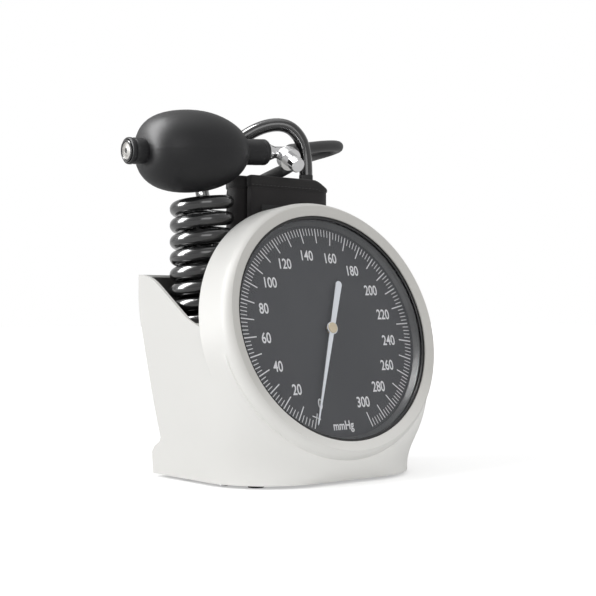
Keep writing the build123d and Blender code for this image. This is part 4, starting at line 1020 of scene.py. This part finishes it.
# Strengths: what lights the object, and what the camera, metal and glass see behind it
studio = {"ambient": 0.53, "seen": 1.0, "mirrored": 0.62, "floorHalf": 6, "floorColor": 0.8,
          "floorRough": 0.9, "floorLift": 0.40, "farLift": 0.4, "farFrom": 0.45, "farTo": 1.6}
lamps = [
    ("keySoftbox", (-1.35, 0.45, 1.05), (0.05, 0.03, 0.1), (1.1, 1.1), 9),
    ("overheadSoftbox", (0.1, -0.1, 1.7), (0.05, 0.03, 0.1), (1.3, 1.3), 4.5),
    ("leftStrip", (-1.0, 0.47, 0.98), (0.0, 0.05, 0.15), (0.7, 2.2), 100, False),
    ("frontFill", (-0.5, -1.7, 0.6), (0.05, 0.0, 0.1), (1.2, 0.9), 8),
]


def makeStudio():
    half = studio["floorHalf"]
    corners = [(-half, -half, 0), (half, -half, 0), (half, half, 0), (-half, half, 0)]
    floorMesh = meshFrom("floor", corners, [(0, 1, 2, 3)], recalculate=False)
    floor = newObject("floor", floorMesh)
    level = studio["floorColor"]
    finish = Finish("floorWhite", Roughness=studio["floorRough"],
                    **{"Base Color": (level, level, level, 1.0), "Emission Color": (1, 1, 1, 1)})
    seen = finish.pick(finish.make("ShaderNodeLightPath", {}, {}), "Is Camera Ray")
    x, y, z = finish.apart(finish.place())
    far = rise((x * x + y * y) ** 0.5, studio["farFrom"], studio["farTo"])
    finish.feed("Emission Strength", seen * (studio["floorLift"] + far * studio["farLift"]))
    floorMesh.materials.append(finish.material)
    world = bpy.data.worlds.new("studio")
    bpy.context.scene.world = world
    world.use_nodes = True
    tree = world.node_tree
    tree.nodes.clear()
    path = tree.nodes.new("ShaderNodeLightPath")
    surroundings = tree.nodes.new("ShaderNodeBackground")
    direct, glossy = Socket(tree, path.outputs["Is Camera Ray"]), Socket(tree, path.outputs["Is Glossy Ray"])
    strength = direct * (studio["seen"] - studio["ambient"]) \
        + glossy * (studio["mirrored"] - studio["ambient"]) + studio["ambient"]
    tree.links.new(strength.plug, surroundings.inputs["Strength"])
    end = tree.nodes.new("ShaderNodeOutputWorld")
    tree.links.new(surroundings.outputs[0], end.inputs["Surface"])
    surroundings.inputs["Color"].default_value = (1, 1, 1, 1)
    for lamp in lamps:
        softLamp(*lamp)


makeCamera()
makeStudio()
bpy.context.scene.view_settings.view_transform = "Standard"
print("studio ready")

# Visible moulded and machined nodes get their edges broken, the rest keep their solids and take a finish
finishNode("gauge_cover", whiteShell, 0.0004, angle=15)
for node, finish, width in (
        ("front_shell", whiteShell, 0.0005), ("rear_shell", whiteShell, 0.0005),
        ("bin_liner", binGrey, 0.0003), ("base_plate", basePlastic, 0.0003),
        ("bezel_ring", bezelBlack, 0.0003), ("reflector_ring", ringGrey, 0.0002),
        ("rubber_feet", footRubber, 0.0006), ("base_screws", satinSteel, 0.0002),
        ("pointer_cap", hubCream, 0.0003), ("pointer", pointerPaint, 0.00012),
        ("release_valve_body", chrome, 0.0003), ("release_screw", chrome, 0.00018),
        ("hose_fitting", brass, 0.0002), ("gauge_case", caseBlack, 0.0003),
        ("hook_tape", hookCloth, 0.0003)):
    finishNode(node, finish, width)

for node, finish in {
    "lens_gasket": footRubber, "inlet_flap": footRubber, "cuff_bladder": footRubber, "gauge_hose": hoseMatt,
    "lens": lensClear, "case_screws": satinSteel, "movement_screws": satinSteel, "hairspring": satinSteel,
    "valve_needle": satinSteel, "pointer_shaft": satinSteel, "rocker_shaft": satinSteel,
    "capsule_pusher": satinSteel, "dial_feet": brass, "sector_gear": brass, "movement_front_plate": brass,
    "movement_back_plate": brass, "movement_pillars": brass, "pressure_capsule": brass, "capsule_nut": brass,
    "inlet_elbow": brass, "fitting_nut": brass, "pointer_collet": brass, "dial_plate": dialPaint,
}.items():
    paintNode(node, finish)
print("node finishes ready")
